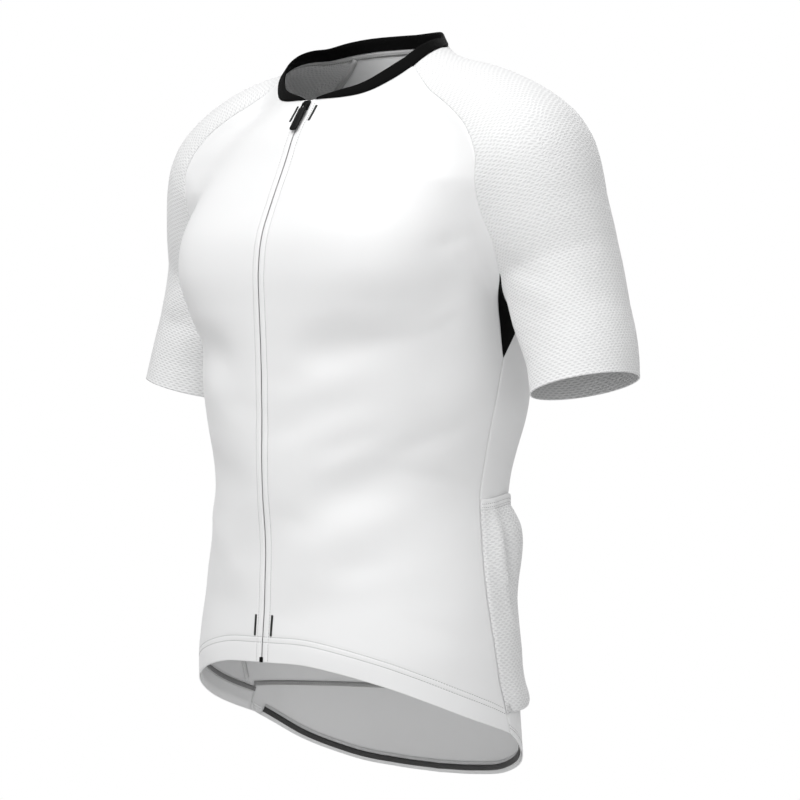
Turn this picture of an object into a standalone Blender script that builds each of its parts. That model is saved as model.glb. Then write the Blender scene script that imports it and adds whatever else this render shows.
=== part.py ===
"""Short-sleeve cycling jersey in its worn form, hollow, with no wearer.

Metres, +Z up.  The front faces -Y and the wearer's left is +X.  The origin is the
centre of the neck opening at shoulder height, where the wearer carries the garment.
Every panel is laid out between its seams on one smooth garment form, then given the
thickness of its cloth.
"""
import bpy
import bmesh
import math
import numpy as np
from mathutils import Matrix, Vector

# ---------------------------------------------------------------- driving sizes
CLOTH = 0.0012              # wall of the body and sleeve panels
COLLAR_WALL = 0.0022        # doubled knit band
COLLAR_PROUD = 0.0005       # the band stands this far proud of the panels
SEAM_GAP = 0.0002           # each panel stops this far short of its seam line
LAY_GAP = 0.0003            # air between two layers that lie on each other

ZIP_SLOT = 0.0010           # slot between the two front edges, over the zip
ZIP_TAPE_HALF = 0.013       # half width of the zip tape
ZIP_TAPE = 0.0009           # tape thickness
PULL_WIDTH = 0.0090
PULL_LENGTH = 0.0270
PULL_THICK = 0.0020

COLLAR_HEIGHT = 0.0135      # band height round the back and sides
COLLAR_TIP = 0.0025         # band height where it meets the zip
COLLAR_TAPER = 0.055        # length over which the band narrows to the zip

GRIPPER_WIDTH = 0.0050      # elastic strip inside the back hem
GRIPPER_RISE = 0.0045       # height of its lower edge above the hem
GRIPPER_THICK = 0.0008

SLIDER_BELOW = 0.0058       # slider's middle below the neck edge
HINGE_OUT = 0.0042          # the pull's axis above the cloth
ZIP_LENGTH_TO_STOP = 0.5340

POCKET_BAND = 0.0100        # elastic band along the pocket mouths
BAND_WALL = 0.0016
POCKETS = 3
POCKET_SIDE = 0.05          # share of the width that stays flat at each side seam
MIDDLE_POCKET = 0.3         # the middle pocket stands off this much more
POCKET_FOOT_ROW = 3
POCKET_MOUTH_ROW = 11.4
POCKET_CELLS = 16
# how far the pocket panel stands off the back, up its height
POCKET_SWELL = np.array([
    # height, metres
    (0.00, 0.0000),
    (0.06, 0.0050),
    (0.20, 0.0026),
    (0.35, 0.0032),
    (0.52, 0.0018),
    (0.64, 0.0060),
    (0.80, 0.0105),
    (0.92, 0.0092),
    (1.00, 0.0065),
])

# torso sections, top to bottom: half width, depth in front of and behind the side
# line, exponents of the front and back curves (2 is an ellipse), and the side line's y
TORSO = [
    # z,      half_w, front,  back,   n_front, n_back, side_y
    (0.040, 0.074, 0.055, 0.069, 2.0, 2.0, 0.004),
    (0.010, 0.079, 0.061, 0.073, 2.0, 2.0, 0.005),
    (-0.020, 0.086, 0.069, 0.079, 2.0, 2.1, 0.007),
    (-0.040, 0.102, 0.078, 0.088, 2.1, 2.2, 0.009),
    (-0.070, 0.138, 0.099, 0.104, 2.3, 2.3, 0.010),
    (-0.100, 0.158, 0.112, 0.114, 2.6, 2.4, 0.010),
    (-0.135, 0.166, 0.128, 0.121, 3.1, 2.6, 0.010),
    (-0.170, 0.169, 0.142, 0.124, 3.5, 2.8, 0.010),
    (-0.200, 0.169, 0.146, 0.124, 3.5, 2.9, 0.010),
    (-0.235, 0.167, 0.145, 0.123, 2.9, 2.8, 0.010),
    (-0.275, 0.164, 0.143, 0.121, 2.3, 2.5, 0.010),
    (-0.320, 0.163, 0.142, 0.119, 2.2, 2.4, 0.010),
    (-0.370, 0.156, 0.142, 0.110, 2.1, 2.2, 0.010),
    (-0.410, 0.152, 0.141, 0.101, 2.0, 2.1, 0.010),
    (-0.450, 0.158, 0.137, 0.093, 2.1, 2.1, 0.010),
    (-0.500, 0.167, 0.138, 0.087, 2.2, 2.1, 0.010),
    (-0.550, 0.172, 0.141, 0.087, 2.2, 2.1, 0.010),
    (-0.600, 0.173, 0.143, 0.091, 2.2, 2.1, 0.010),
    (-0.650, 0.174, 0.144, 0.098, 2.2, 2.1, 0.010),
    (-0.720, 0.174, 0.145, 0.098, 2.2, 2.1, 0.010),
]

# centre line of the left shoulder and sleeve, and its radius
SLEEVE = [
    # x,     y,     z,      radius
    (0.060, 0.020, -0.045, 0.057),
    (0.100, 0.020, -0.056, 0.056),
    (0.150, 0.017, -0.075, 0.062),
    (0.190, 0.019, -0.106, 0.070),
    (0.209, 0.023, -0.150, 0.063),
    (0.224, 0.030, -0.190, 0.056),
    (0.239, 0.033, -0.236, 0.053),
    (0.255, 0.028, -0.281, 0.0515),
    (0.266, 0.020, -0.330, 0.049),
]
# how softly the sleeve flows into the body: most in front of and behind the armhole
BLEND = np.array([
    # z,     metres
    (-0.24, 0.026),
    (-0.17, 0.040),
    (-0.12, 0.055),
    (-0.08, 0.045),
    (-0.04, 0.026),
])

CUFF_CENTRE = (0.2615, 0.0235, -0.3085)
CUFF_TILT_OUT = math.radians(14.6)
CUFF_TILT_BACK = math.radians(-2.4)

# seams of the left half: a few points each, settled onto the form
NECK_FRONT = [(0.0, -0.069, -0.0400), (0.034, -0.061, -0.0380), (0.056, -0.049, -0.0310),
              (0.076, -0.034, -0.0200), (0.087, -0.018, -0.0090)]
NECK_SIDE = [(0.087, -0.018, -0.0090), (0.089, 0.010, 0.0050), (0.080, 0.038, 0.0155),
             (0.060, 0.057, 0.0200)]
NECK_BACK = [(0.060, 0.057, 0.0200), (0.032, 0.070, 0.0215), (0.0, 0.075, 0.0215)]
RAGLAN_FRONT = [(0.181, -0.010, -0.2060), (0.180, -0.022, -0.1850), (0.184, -0.037, -0.1600),
                (0.195, -0.050, -0.1280), (0.194, -0.054, -0.0950), (0.172, -0.047, -0.0640),
                (0.144, -0.042, -0.0450), (0.114, -0.032, -0.0280), (0.087, -0.018, -0.0090)]
RAGLAN_BACK = [(0.170, 0.050, -0.2190), (0.176, 0.067, -0.1850), (0.184, 0.080, -0.1450),
               (0.182, 0.088, -0.1050), (0.164, 0.088, -0.0680), (0.130, 0.081, -0.0340),
               (0.094, 0.071, -0.0040), (0.060, 0.057, 0.0200)]
GUSSET_TOP = [(0.181, -0.010, -0.2060), (0.176, 0.020, -0.2300), (0.170, 0.050, -0.2190)]
GUSSET_FRONT = [(0.167, 0.017, -0.2840), (0.168, 0.003, -0.2450), (0.181, -0.010, -0.2060)]
GUSSET_BACK = [(0.167, 0.017, -0.2840), (0.167, 0.039, -0.2530), (0.170, 0.050, -0.2190)]
SIDE_LOW = [(0.168, 0.021, -0.6290), (0.171, 0.013, -0.6020)]
SIDE = [(0.171, 0.013, -0.6020), (0.173, 0.005, -0.5720), (0.168, -0.004, -0.5000),
        (0.156, 0.000, -0.4300), (0.153, 0.006, -0.3800), (0.158, 0.011, -0.3300),
        (0.167, 0.017, -0.2840)]
HEM_FRONT = [(0.0, -0.131, -0.5640), (0.060, -0.120, -0.5665), (0.120, -0.085, -0.5840),
             (0.156, -0.030, -0.6110), (0.168, 0.021, -0.6290)]
HEM_BACK = [(0.168, 0.021, -0.6290), (0.150, 0.063, -0.6555), (0.100, 0.088, -0.6745),
            (0.050, 0.100, -0.6810), (0.0, 0.104, -0.6830)]
POCKET_FOOT = [(0.171, 0.013, -0.6020), (0.145, 0.066, -0.6020), (0.080, 0.095, -0.6020),
               (0.0, 0.104, -0.6020)]

# cells along each seam
N_FRONT = 13                # across one front
N_BACK = 10                 # from the side to the centre back
N_NECK_SIDE = 4
N_RAGLAN = 11
N_GUSSET_TOP = 4
N_GUSSET = 6
N_SIDE_LOW = 3
N_SIDE = 15
N_SLEEVE = 14               # rings from the cuff to the armhole
CUFF_CROWD = 0.5            # how much closer the columns stand on the arm's outer side

# soft folds of the cloth: a line from start to end, how wide and deep, negative is a
# trough; each is mirrored to the other side where both is 1
FOLDS = [
    # x0,    y0,    z0,     x1,    y1,    z1,     width, depth,  both
    (0.150, -0.050, -0.235, 0.050, -0.138, -0.292, 0.022, -0.0034, 1),
    (0.150, -0.060, -0.275, 0.040, -0.140, -0.335, 0.020, 0.0020, 1),
    (0.020, -0.140, -0.345, 0.120, -0.100, -0.310, 0.019, -0.0022, 0),
    (0.030, -0.138, -0.390, 0.130, -0.085, -0.435, 0.022, -0.0026, 0),
    (-0.020, -0.138, -0.405, -0.120, -0.085, -0.370, 0.022, -0.0024, 0),
    (0.040, -0.135, -0.460, 0.140, -0.060, -0.405, 0.020, 0.0022, 1),
    (0.030, -0.135, -0.505, 0.150, -0.050, -0.535, 0.022, -0.0026, 1),
    (0.145, 0.040, -0.385, 0.030, 0.118, -0.365, 0.020, -0.0032, 1),
    (0.140, 0.060, -0.335, 0.030, 0.122, -0.335, 0.019, 0.0022, 1),
    (0.140, 0.060, -0.290, 0.050, 0.125, -0.262, 0.020, -0.0028, 1),
    (0.205, -0.020, -0.230, 0.262, -0.020, -0.255, 0.016, -0.0022, 1),
    (0.225, 0.080, -0.215, 0.285, 0.045, -0.245, 0.016, -0.0022, 1),
]


# ---------------------------------------------------------------- curves and form
def through(points, samples):
    """A smooth curve through a few points, at even steps along its length."""
    points = np.array(points, float)
    if len(points) == 2:
        steps = np.linspace(0.0, 1.0, samples)[:, None]
        return points[0] * (1.0 - steps) + points[1] * steps
    padded = np.vstack([2 * points[0] - points[1], points, 2 * points[-1] - points[-2]])
    fine = []
    for before, start, end, after in zip(padded, padded[1:], padded[2:], padded[3:]):
        for t in np.linspace(0.0, 1.0, 16, endpoint=False):
            fine.append(0.5 * (2 * start + (end - before) * t
                               + (2 * before - 5 * start + 4 * end - after) * t * t
                               + (3 * start - before - 3 * end + after) * t ** 3))
    fine.append(points[-1])
    return even_steps(np.array(fine), samples)


def even_steps(line, samples):
    """The same line with its points at even steps."""
    length = np.concatenate([[0.0], np.cumsum(np.linalg.norm(np.diff(line, axis=0), axis=1))])
    places = np.linspace(0.0, length[-1], samples)
    return np.stack([np.interp(places, length, line[:, k]) for k in range(3)], axis=1)


def by_height(rows, samples=160):
    """Section rows turned into a fine smooth table, rising with z."""
    rows = np.array(rows, float)[::-1]
    z = rows[:, 0]
    slopes = np.gradient(rows[:, 1:], z, axis=0)
    fine_z = np.linspace(z[0], z[-1], samples)
    cell = np.clip(np.searchsorted(z, fine_z, side="right") - 1, 0, len(z) - 2)
    step = (z[cell + 1] - z[cell])[:, None]
    t = ((fine_z - z[cell]) / step[:, 0])[:, None]
    values = ((2 * t ** 3 - 3 * t ** 2 + 1) * rows[cell, 1:]
              + (t ** 3 - 2 * t ** 2 + t) * step * slopes[cell]
              + (3 * t ** 2 - 2 * t ** 3) * rows[cell + 1, 1:]
              + (t ** 3 - t ** 2) * step * slopes[cell + 1])
    return fine_z, values


TORSO_Z, TORSO_FINE = by_height(TORSO)
SLEEVE_LINE = through([row[:3] for row in SLEEVE], 60)
SLEEVE_RADIUS = np.interp(
    np.linspace(0.0, 1.0, 60),
    np.concatenate([[0.0], np.cumsum(np.linalg.norm(np.diff(
        np.array(SLEEVE)[:, :3], axis=0), axis=1))])
    / np.sum(np.linalg.norm(np.diff(np.array(SLEEVE)[:, :3], axis=0), axis=1)),
    np.array(SLEEVE)[:, 3])


def torso_distance(p):
    half_w, front, back, n_front, n_back, side_y = (
        np.interp(p[:, 2], TORSO_Z, TORSO_FINE[:, k]) for k in range(6))
    y = p[:, 1] - side_y
    depth = np.where(y < 0, front, back)
    power = np.where(y < 0, n_front, n_back)
    reach = np.hypot(p[:, 0], y) + 1e-9
    ratio = ((np.abs(p[:, 0]) / half_w) ** power
             + (np.abs(y) / depth) ** power) ** (1.0 / power) + 1e-9
    return reach * (1.0 - 1.0 / ratio)


def sleeve_distance(p):
    """Distance to the shoulder and sleeve tube of the side that p is on."""
    q = p.copy()
    q[:, 0] = np.abs(q[:, 0])
    start = SLEEVE_LINE[:-1]
    along = SLEEVE_LINE[1:] - start
    offset = q[:, None, :] - start[None, :, :]
    t = np.clip(np.einsum("nsk,sk->ns", offset, along) / np.sum(along ** 2, axis=1), 0.0, 1.0)
    radius = SLEEVE_RADIUS[:-1] * (1 - t) + SLEEVE_RADIUS[1:] * t
    away = np.linalg.norm(offset - t[:, :, None] * along[None, :, :], axis=2)
    return np.min(away - radius, axis=1)


def form(p):
    """Signed distance to the garment form: body and sleeves in one smooth skin."""
    a = torso_distance(p)
    b = sleeve_distance(p)
    blend = np.interp(p[:, 2], BLEND[:, 0], BLEND[:, 1])
    mix = np.clip(0.5 + 0.5 * (b - a) / blend, 0.0, 1.0)
    return b * (1 - mix) + a * mix - blend * mix * (1 - mix)


def slope(p, step=0.0005):
    rise = []
    for k in range(3):
        move = np.zeros(3)
        move[k] = step
        rise.append((form(p + move) - form(p - move)) / (2 * step))
    return np.stack(rise, axis=1)


def normal(p):
    """The way the form faces, taken over a few millimetres so that tight valleys stay soft."""
    flat = p.reshape(-1, 3)
    rise = slope(flat, 0.005)
    rise /= np.linalg.norm(rise, axis=1)[:, None] + 1e-12
    return rise.reshape(p.shape)


def settle(p, rounds=4):
    """Move points straight onto the form."""
    flat = p.reshape(-1, 3).copy()
    for _ in range(rounds):
        rise = slope(flat)
        pull = form(flat)[:, None] * rise / (np.sum(rise ** 2, axis=1)[:, None] + 1e-9)
        flat -= np.clip(pull, -0.02, 0.02)
    return flat.reshape(p.shape)


def seam(points, cells):
    line = settle(through(points, cells + 1))
    ends = line[0].copy(), line[-1].copy()
    line = settle(even_steps(line, cells + 1))
    line[0], line[-1] = ends
    return line


def folded(p):
    """Points moved along the form's normal by the cloth's soft folds."""
    flat = p.reshape(-1, 3)
    push = np.zeros(len(flat))
    for x0, y0, z0, x1, y1, z1, width, depth, both in FOLDS:
        for side in ((1, -1) if both else (1,)):
            start = np.array([x0 * side, y0, z0])
            along = np.array([x1 * side, y1, z1]) - start
            t = np.clip((flat - start) @ along / (along @ along), 0.0, 1.0)
            away = np.linalg.norm(flat - start - t[:, None] * along, axis=1)
            taper = np.sin(np.pi * np.clip(0.12 + 0.76 * t, 0, 1))
            push += depth * taper * np.exp(-(away / width) ** 2)
    return (flat + push[:, None] * normal(flat)).reshape(p.shape)


# ---------------------------------------------------------------- panels
def relax(grid, rounds, closed):
    """Even out the inside of a grid of points, keeping it on the form."""
    for _ in range(rounds):
        if closed:
            around = (np.roll(grid, 1, axis=1) + np.roll(grid, -1, axis=1))[1:-1]
            along = grid[2:] + grid[:-2]
            grid[1:-1] = settle((around + along) / 4.0, 1)
        else:
            middle = (grid[2:, 1:-1] + grid[:-2, 1:-1] + grid[1:-1, 2:] + grid[1:-1, :-2]) / 4.0
            grid[1:-1, 1:-1] = settle(middle, 1)
    if closed:
        grid[1:-1] = settle(grid[1:-1])
    else:
        grid[1:-1, 1:-1] = settle(grid[1:-1, 1:-1])
    return grid


def panel(bottom, top, left, right, rounds=60):
    """A grid of points on the form between four seams; rows run bottom to top."""
    rows, cols = len(left), len(bottom)
    v = np.linspace(0.0, 1.0, rows)[:, None, None]
    u = np.linspace(0.0, 1.0, cols)[None, :, None]
    grid = ((1 - v) * bottom[None] + v * top[None] + (1 - u) * left[:, None]
            + u * right[:, None]
            - (1 - u) * (1 - v) * bottom[0] - u * (1 - v) * bottom[-1]
            - (1 - u) * v * top[0] - u * v * top[-1])
    grid[1:-1, 1:-1] = settle(grid[1:-1, 1:-1])
    return relax(grid, rounds, closed=False)


def pull_in(grid, gap=SEAM_GAP, closed=False):
    """Stop a panel short of its seam lines."""
    def toward(edge, inner):
        step = inner - edge
        length = np.linalg.norm(step, axis=-1, keepdims=True)
        return edge + step * np.minimum(gap / np.maximum(length, 1e-9), 0.4)
    out = grid.copy()
    out[0] = toward(grid[0], grid[1])
    out[-1] = toward(grid[-1], grid[-2])
    if not closed:
        out[:, 0] = toward(out[:, 0], out[:, 1])
        out[:, -1] = toward(out[:, -1], out[:, -2])
    return out


def material(name, colour, roughness, metallic=0.0):
    made = bpy.data.materials.new(name)
    made.use_nodes = True
    shader = made.node_tree.nodes["Principled BSDF"]
    shader.inputs["Base Color"].default_value = (*colour, 1.0)
    shader.inputs["Roughness"].default_value = roughness
    shader.inputs["Metallic"].default_value = metallic
    return made


def add_object(name, mesh, finish):
    mesh.materials.append(finish)
    mesh.shade_smooth()
    mesh.set_sharp_from_angle(angle=math.radians(40.0))
    made = bpy.data.objects.new(name, mesh)
    bpy.context.scene.collection.objects.link(made)
    return made


def face_out(bm):
    bmesh.ops.recalc_face_normals(bm, faces=bm.faces)
    if bm.calc_volume(signed=True) < 0:
        bmesh.ops.reverse_faces(bm, faces=bm.faces)


def wall(name, outer, inner, finish, closed=False):
    """One closed wall between an outer and an inner grid, split along short diagonals."""
    rows, cols = outer.shape[:2]
    bm = bmesh.new()
    out = [[bm.verts.new(p) for p in row] for row in outer]
    back = [[bm.verts.new(p) for p in row] for row in inner]
    last = cols if closed else cols - 1

    def split(a, b, c, d, as_first=None):
        first = as_first
        if first is None:
            first = (a.co - c.co).length <= (b.co - d.co).length
        for corners in (((a, b, c), (a, c, d)) if first else ((a, b, d), (b, c, d))):
            bm.faces.new(corners)
        return first

    for i in range(rows - 1):
        for j in range(last):
            k = (j + 1) % cols
            first = split(out[i][j], out[i][k], out[i + 1][k], out[i + 1][j])
            split(back[i + 1][j], back[i + 1][k], back[i][k], back[i][j], not first)
    for j in range(last):
        k = (j + 1) % cols
        split(out[0][k], out[0][j], back[0][j], back[0][k])
        split(out[-1][j], out[-1][k], back[-1][k], back[-1][j])
    if not closed:
        for i in range(rows - 1):
            split(out[i][0], out[i + 1][0], back[i + 1][0], back[i][0])
            split(out[i + 1][-1], out[i][-1], back[i][-1], back[i + 1][-1])
    bmesh.ops.remove_doubles(bm, verts=bm.verts, dist=0.000001)
    flat = [f for f in bm.faces if f.calc_area() < 1e-12]
    bmesh.ops.delete(bm, geom=flat, context="FACES")
    face_out(bm)
    mesh = bpy.data.meshes.new(name)
    bm.to_mesh(mesh)
    bm.free()
    return add_object(name, mesh, finish)


def cloth(name, grid, finish, closed=False):
    """A cloth wall whose outer face is the grid, with its folds."""
    outer = folded(grid)
    return wall(name, outer, outer - normal(grid) * CLOTH, finish, closed)


def mirrored(points):
    return points * np.array([-1.0, 1.0, 1.0])


# ---------------------------------------------------------------- build
for old in list(bpy.data.objects):
    bpy.data.objects.remove(old, do_unlink=True)

WHITE_KNIT = material("white_knit", (0.86, 0.86, 0.87), 0.55)
WHITE_MESH = material("white_mesh", (0.80, 0.80, 0.82), 0.65)
BLACK_KNIT = material("black_knit", (0.012, 0.012, 0.013), 0.6)
BLACK_PLASTIC = material("black_plastic", (0.02, 0.02, 0.02), 0.35)
GREY_ELASTIC = material("grey_elastic", (0.09, 0.09, 0.10), 0.7)
WHITE_TAPE = material("white_tape", (0.75, 0.75, 0.76), 0.6)

# seams of the left half
neck_front = seam(NECK_FRONT, N_FRONT)
neck_side = seam(NECK_SIDE, N_NECK_SIDE)
neck_back = seam(NECK_BACK, N_BACK)
neck_front[0][0] = 0.0
neck_back[-1][0] = 0.0
raglan_front = seam(RAGLAN_FRONT, N_RAGLAN)
raglan_back = seam(RAGLAN_BACK, N_RAGLAN)
gusset_front = seam(GUSSET_FRONT, N_GUSSET)
gusset_back = seam(GUSSET_BACK, N_GUSSET)
gusset_top = seam(GUSSET_TOP, N_GUSSET_TOP)
side_low = seam(SIDE_LOW, N_SIDE_LOW)
side = seam(SIDE, N_SIDE)
pocket_foot = seam(POCKET_FOOT, N_BACK)
hem_front = seam(HEM_FRONT, N_FRONT)
hem_back = seam(HEM_BACK, N_BACK)

# the two curves share their corner points
neck_side[0] = neck_front[-1]
neck_back[0] = neck_side[-1]
raglan_front[-1] = neck_front[-1]
raglan_back[-1] = neck_side[-1]
gusset_front[-1] = raglan_front[0]
gusset_back[-1] = raglan_back[0]
gusset_top[0] = raglan_front[0]
gusset_top[-1] = raglan_back[0]
gusset_front[0] = side[-1]
gusset_back[0] = side[-1]
side_low[-1] = side[0]
pocket_foot[0] = side[0]
hem_front[-1] = side_low[0]
hem_back[0] = side_low[0]

front_edge = np.vstack([side_low, side[1:], gusset_front[1:], raglan_front[1:]])
back_edge = np.vstack([side, gusset_back[1:], raglan_back[1:]])
zip_line = settle(np.column_stack([
    np.zeros(len(front_edge)),
    np.linspace(-0.13, -0.07, len(front_edge)),
    np.linspace(hem_front[0][2], neck_front[0][2], len(front_edge))]), 12)
zip_line[:, 0] = 0.0
hem_front[0] = zip_line[0]
neck_front[0] = zip_line[-1]

front_left = panel(hem_front, neck_front, zip_line, front_edge)
front_grid = pull_in(front_left)
front_grid[:, 0, 0] = ZIP_SLOT / 2
cloth("front_left", front_grid, WHITE_KNIT)
cloth("front_right", mirrored(front_grid), WHITE_KNIT)

back_foot = np.vstack([hem_back, mirrored(hem_back[-2::-1])])
back_line = np.vstack([pocket_foot, mirrored(pocket_foot[-2::-1])])
back_top = np.vstack([neck_back, mirrored(neck_back[-2::-1])])
back_low = panel(back_foot, back_line, side_low, mirrored(side_low), 30)
back_high = panel(back_line, back_top, back_edge, mirrored(back_edge), 90)
back_grid = pull_in(np.vstack([back_low, back_high[1:]]))
cloth("back", back_grid, WHITE_KNIT)

def axis_frame(along):
    """The sleeve's centre line at these places, with its outer and back directions."""
    index = np.arange(len(SLEEVE_LINE))
    middle, run = (np.stack([np.interp(along, index, values[:, k]) for k in range(3)], axis=1)
                   for values in (SLEEVE_LINE, np.gradient(SLEEVE_LINE, axis=0)))
    outward = np.cross(run, [0.0, 1.0, 0.0])
    outward /= np.linalg.norm(outward, axis=1)[:, None]
    back = np.cross(outward, run)
    back /= np.linalg.norm(back, axis=1)[:, None]
    return middle, run, outward, back


def axis_place(points):
    """Where points lie about the sleeve's centre line: how far along, turn and radius."""
    along = np.argmin(np.linalg.norm(points[:, None] - SLEEVE_LINE[None], axis=2), axis=1)
    for _ in range(6):
        middle, run, outward, back = axis_frame(along)
        offset = points - middle
        along = np.maximum(along + np.sum(offset * run, axis=1) / np.sum(run * run, axis=1), 0)
    up = np.sum(offset * outward, axis=1)
    rear = np.sum(offset * back, axis=1)
    return along, np.arctan2(rear, up), np.hypot(rear, up)


def sleeve_rings(start, end, turns):
    """Rings of points that pass from the cuff to the armhole seams round the arm."""
    first, _, cuff_reach = axis_place(start)
    last, turn, seam_reach = axis_place(end)
    turn = np.unwrap(turn)
    turn += 2 * np.pi * round((np.mean(turns) - np.mean(turn)) / (2 * np.pi))
    rings = [start]
    for step in np.linspace(0.0, 1.0, N_SLEEVE + 1)[1:-1]:
        middle, _, outward, back = axis_frame(first + (last - first) * step)
        bend = (turns * (1 - step) + turn * step)[:, None]
        reach = (cuff_reach * (1 - step) + seam_reach * step)[:, None]
        rings.append(settle(middle + reach * (np.cos(bend) * outward + np.sin(bend) * back)))
    rings.append(end)
    return np.stack(rings)


# sleeve rings run from the cuff up to the loop of seams round the armhole and neck
half_top = N_GUSSET_TOP // 2
loop = np.vstack([gusset_top[half_top:0:-1], raglan_front[:-1], neck_side[:-1],
                  raglan_back[:0:-1], gusset_top[:half_top:-1]])
angle = -np.pi + 2 * np.pi * (np.arange(len(loop)) / len(loop))
angle -= CUFF_CROWD * np.sin(angle)
out_dir = np.array([math.cos(CUFF_TILT_OUT), 0.0, math.sin(CUFF_TILT_OUT)])
back_dir = np.array([0.0, math.cos(CUFF_TILT_BACK), math.sin(CUFF_TILT_BACK)])
cuff_up = np.cross(out_dir, back_dir)       # across the cuff's mouth
cuff_centre = np.array(CUFF_CENTRE)
cuff = cuff_centre + 0.05 * (np.cos(angle)[:, None] * out_dir
                             + np.sin(angle)[:, None] * back_dir)
for _ in range(6):
    cuff = settle(cuff, 2)
    cuff = cuff - ((cuff - cuff_centre) @ cuff_up)[:, None] * cuff_up
sleeve_grid = pull_in(sleeve_rings(cuff, loop, angle), closed=True)
cloth("sleeve_left", sleeve_grid, WHITE_MESH, closed=True)
cloth("sleeve_right", mirrored(sleeve_grid), WHITE_MESH, closed=True)

# underarm gussets
tip = np.repeat(side[-1][None], N_GUSSET_TOP + 1, axis=0)
gusset = pull_in(panel(tip, gusset_top, gusset_front, gusset_back, 20), 1.6 * SEAM_GAP)
gusset[0] = gusset[0].mean(axis=0)
cloth("gusset_left", gusset, BLACK_KNIT)
cloth("gusset_right", mirrored(gusset), BLACK_KNIT)


# ---------------------------------------------------------------- collar
def stepped(t):
    t = np.clip(t, 0.0, 1.0)
    return t * t * (3 - 2 * t)


half_neck = np.vstack([neck_front[1:], neck_side[1:], neck_back[1:]])
neckline = np.vstack([half_neck, mirrored(half_neck[-2::-1])])
run = np.gradient(neckline, axis=0)
rise = np.cross(run, normal(neckline))
rise /= np.linalg.norm(rise, axis=1)[:, None]
rise *= np.sign(rise[:, 2])[:, None]
walk = np.concatenate([[0.0], np.cumsum(np.linalg.norm(np.diff(neckline, axis=0), axis=1))])
from_tip = np.minimum(walk, walk[-1] - walk)
height = COLLAR_TIP + (COLLAR_HEIGHT - COLLAR_TIP) * stepped(from_tip / COLLAR_TAPER)
collar_rows = [settle(neckline + rise * (SEAM_GAP + 0.0001))]
for part_way in (0.5, 1.0):
    collar_rows.append(settle(neckline + rise * (height * part_way)[:, None]))
collar = np.stack(collar_rows)
collar_out = normal(collar)
wall("collar", collar + collar_out * COLLAR_PROUD,
     collar + collar_out * (COLLAR_PROUD - COLLAR_WALL), BLACK_KNIT)


# ---------------------------------------------------------------- zip
def across(grid, reach):
    """Points of each row of a front panel at a given distance from the centre."""
    rows = []
    for row in grid:
        rows.append([np.interp(reach, row[:, 0], row[:, k]) for k in range(3)])
    return np.array(rows)


front_lines = folded(front_grid)
half_tape = np.stack([across(front_lines, ZIP_SLOT / 2), across(front_lines, ZIP_TAPE_HALF)],
                     axis=1)
half_out = normal(half_tape)
tape = np.concatenate([mirrored(half_tape[:, ::-1]), half_tape], axis=1)
tape_out = np.concatenate([mirrored(half_out[:, ::-1]), half_out], axis=1)
tape_face = tape - tape_out * (CLOTH + LAY_GAP)
wall("zip_tape", tape_face, tape_face - tape_out * ZIP_TAPE, WHITE_TAPE)


def zip_place(below):
    """A point on the outside of the zip this far below the neck, with its directions."""
    line = half_tape[::-1, 0] * np.array([0.0, 1.0, 1.0])
    length = np.concatenate([[0.0], np.cumsum(np.linalg.norm(np.diff(line, axis=0), axis=1))])
    here, ahead = (np.array([np.interp(at, length, line[:, k]) for k in range(3)])
                   for at in (below, below + 0.004))
    down = (ahead - here) / np.linalg.norm(ahead - here)
    outward = np.cross(np.array([1.0, 0.0, 0.0]), down)
    if outward[1] > 0:
        outward = -outward
    return here, down, outward


def local_box(bm, low, high, place, bevel=0.0):
    """A box given by x, down the zip, and out from the cloth."""
    here, down, outward = place
    made = bmesh.ops.create_cube(bm, size=1.0)["verts"]
    for vert in made:
        x, t, n = (low[k] + (high[k] - low[k]) * (vert.co[k] + 0.5) for k in range(3))
        vert.co = here + np.array([1.0, 0.0, 0.0]) * x + down * t + outward * n
    face_out(bm)
    if bevel:
        edges = list({edge for vert in made for edge in vert.link_edges})
        bmesh.ops.bevel(bm, geom=edges, offset=bevel, segments=2, profile=0.5,
                        affect="EDGES", material=-1)


def local_solid(name, boxes, place, finish):
    """Boxes joined into one closed body by an exact union."""
    parts = []
    for number, (low, high, bevel) in enumerate(boxes):
        bm = bmesh.new()
        local_box(bm, low, high, place, bevel)
        mesh = bpy.data.meshes.new(f"{name}_{number}")
        bm.to_mesh(mesh)
        bm.free()
        made = bpy.data.objects.new(f"{name}_{number}", mesh)
        bpy.context.scene.collection.objects.link(made)
        parts.append(made)
    base = parts[0]
    for cutter in parts[1:]:
        union = base.modifiers.new("join", "BOOLEAN")
        union.operation = "UNION"
        union.solver = "EXACT"
        union.object = cutter
    graph = bpy.context.evaluated_depsgraph_get()
    joined = bpy.data.meshes.new_from_object(base.evaluated_get(graph))
    for used in parts:
        bpy.data.objects.remove(used, do_unlink=True)
    joined.materials.clear()
    return add_object(name, joined, finish)


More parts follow.
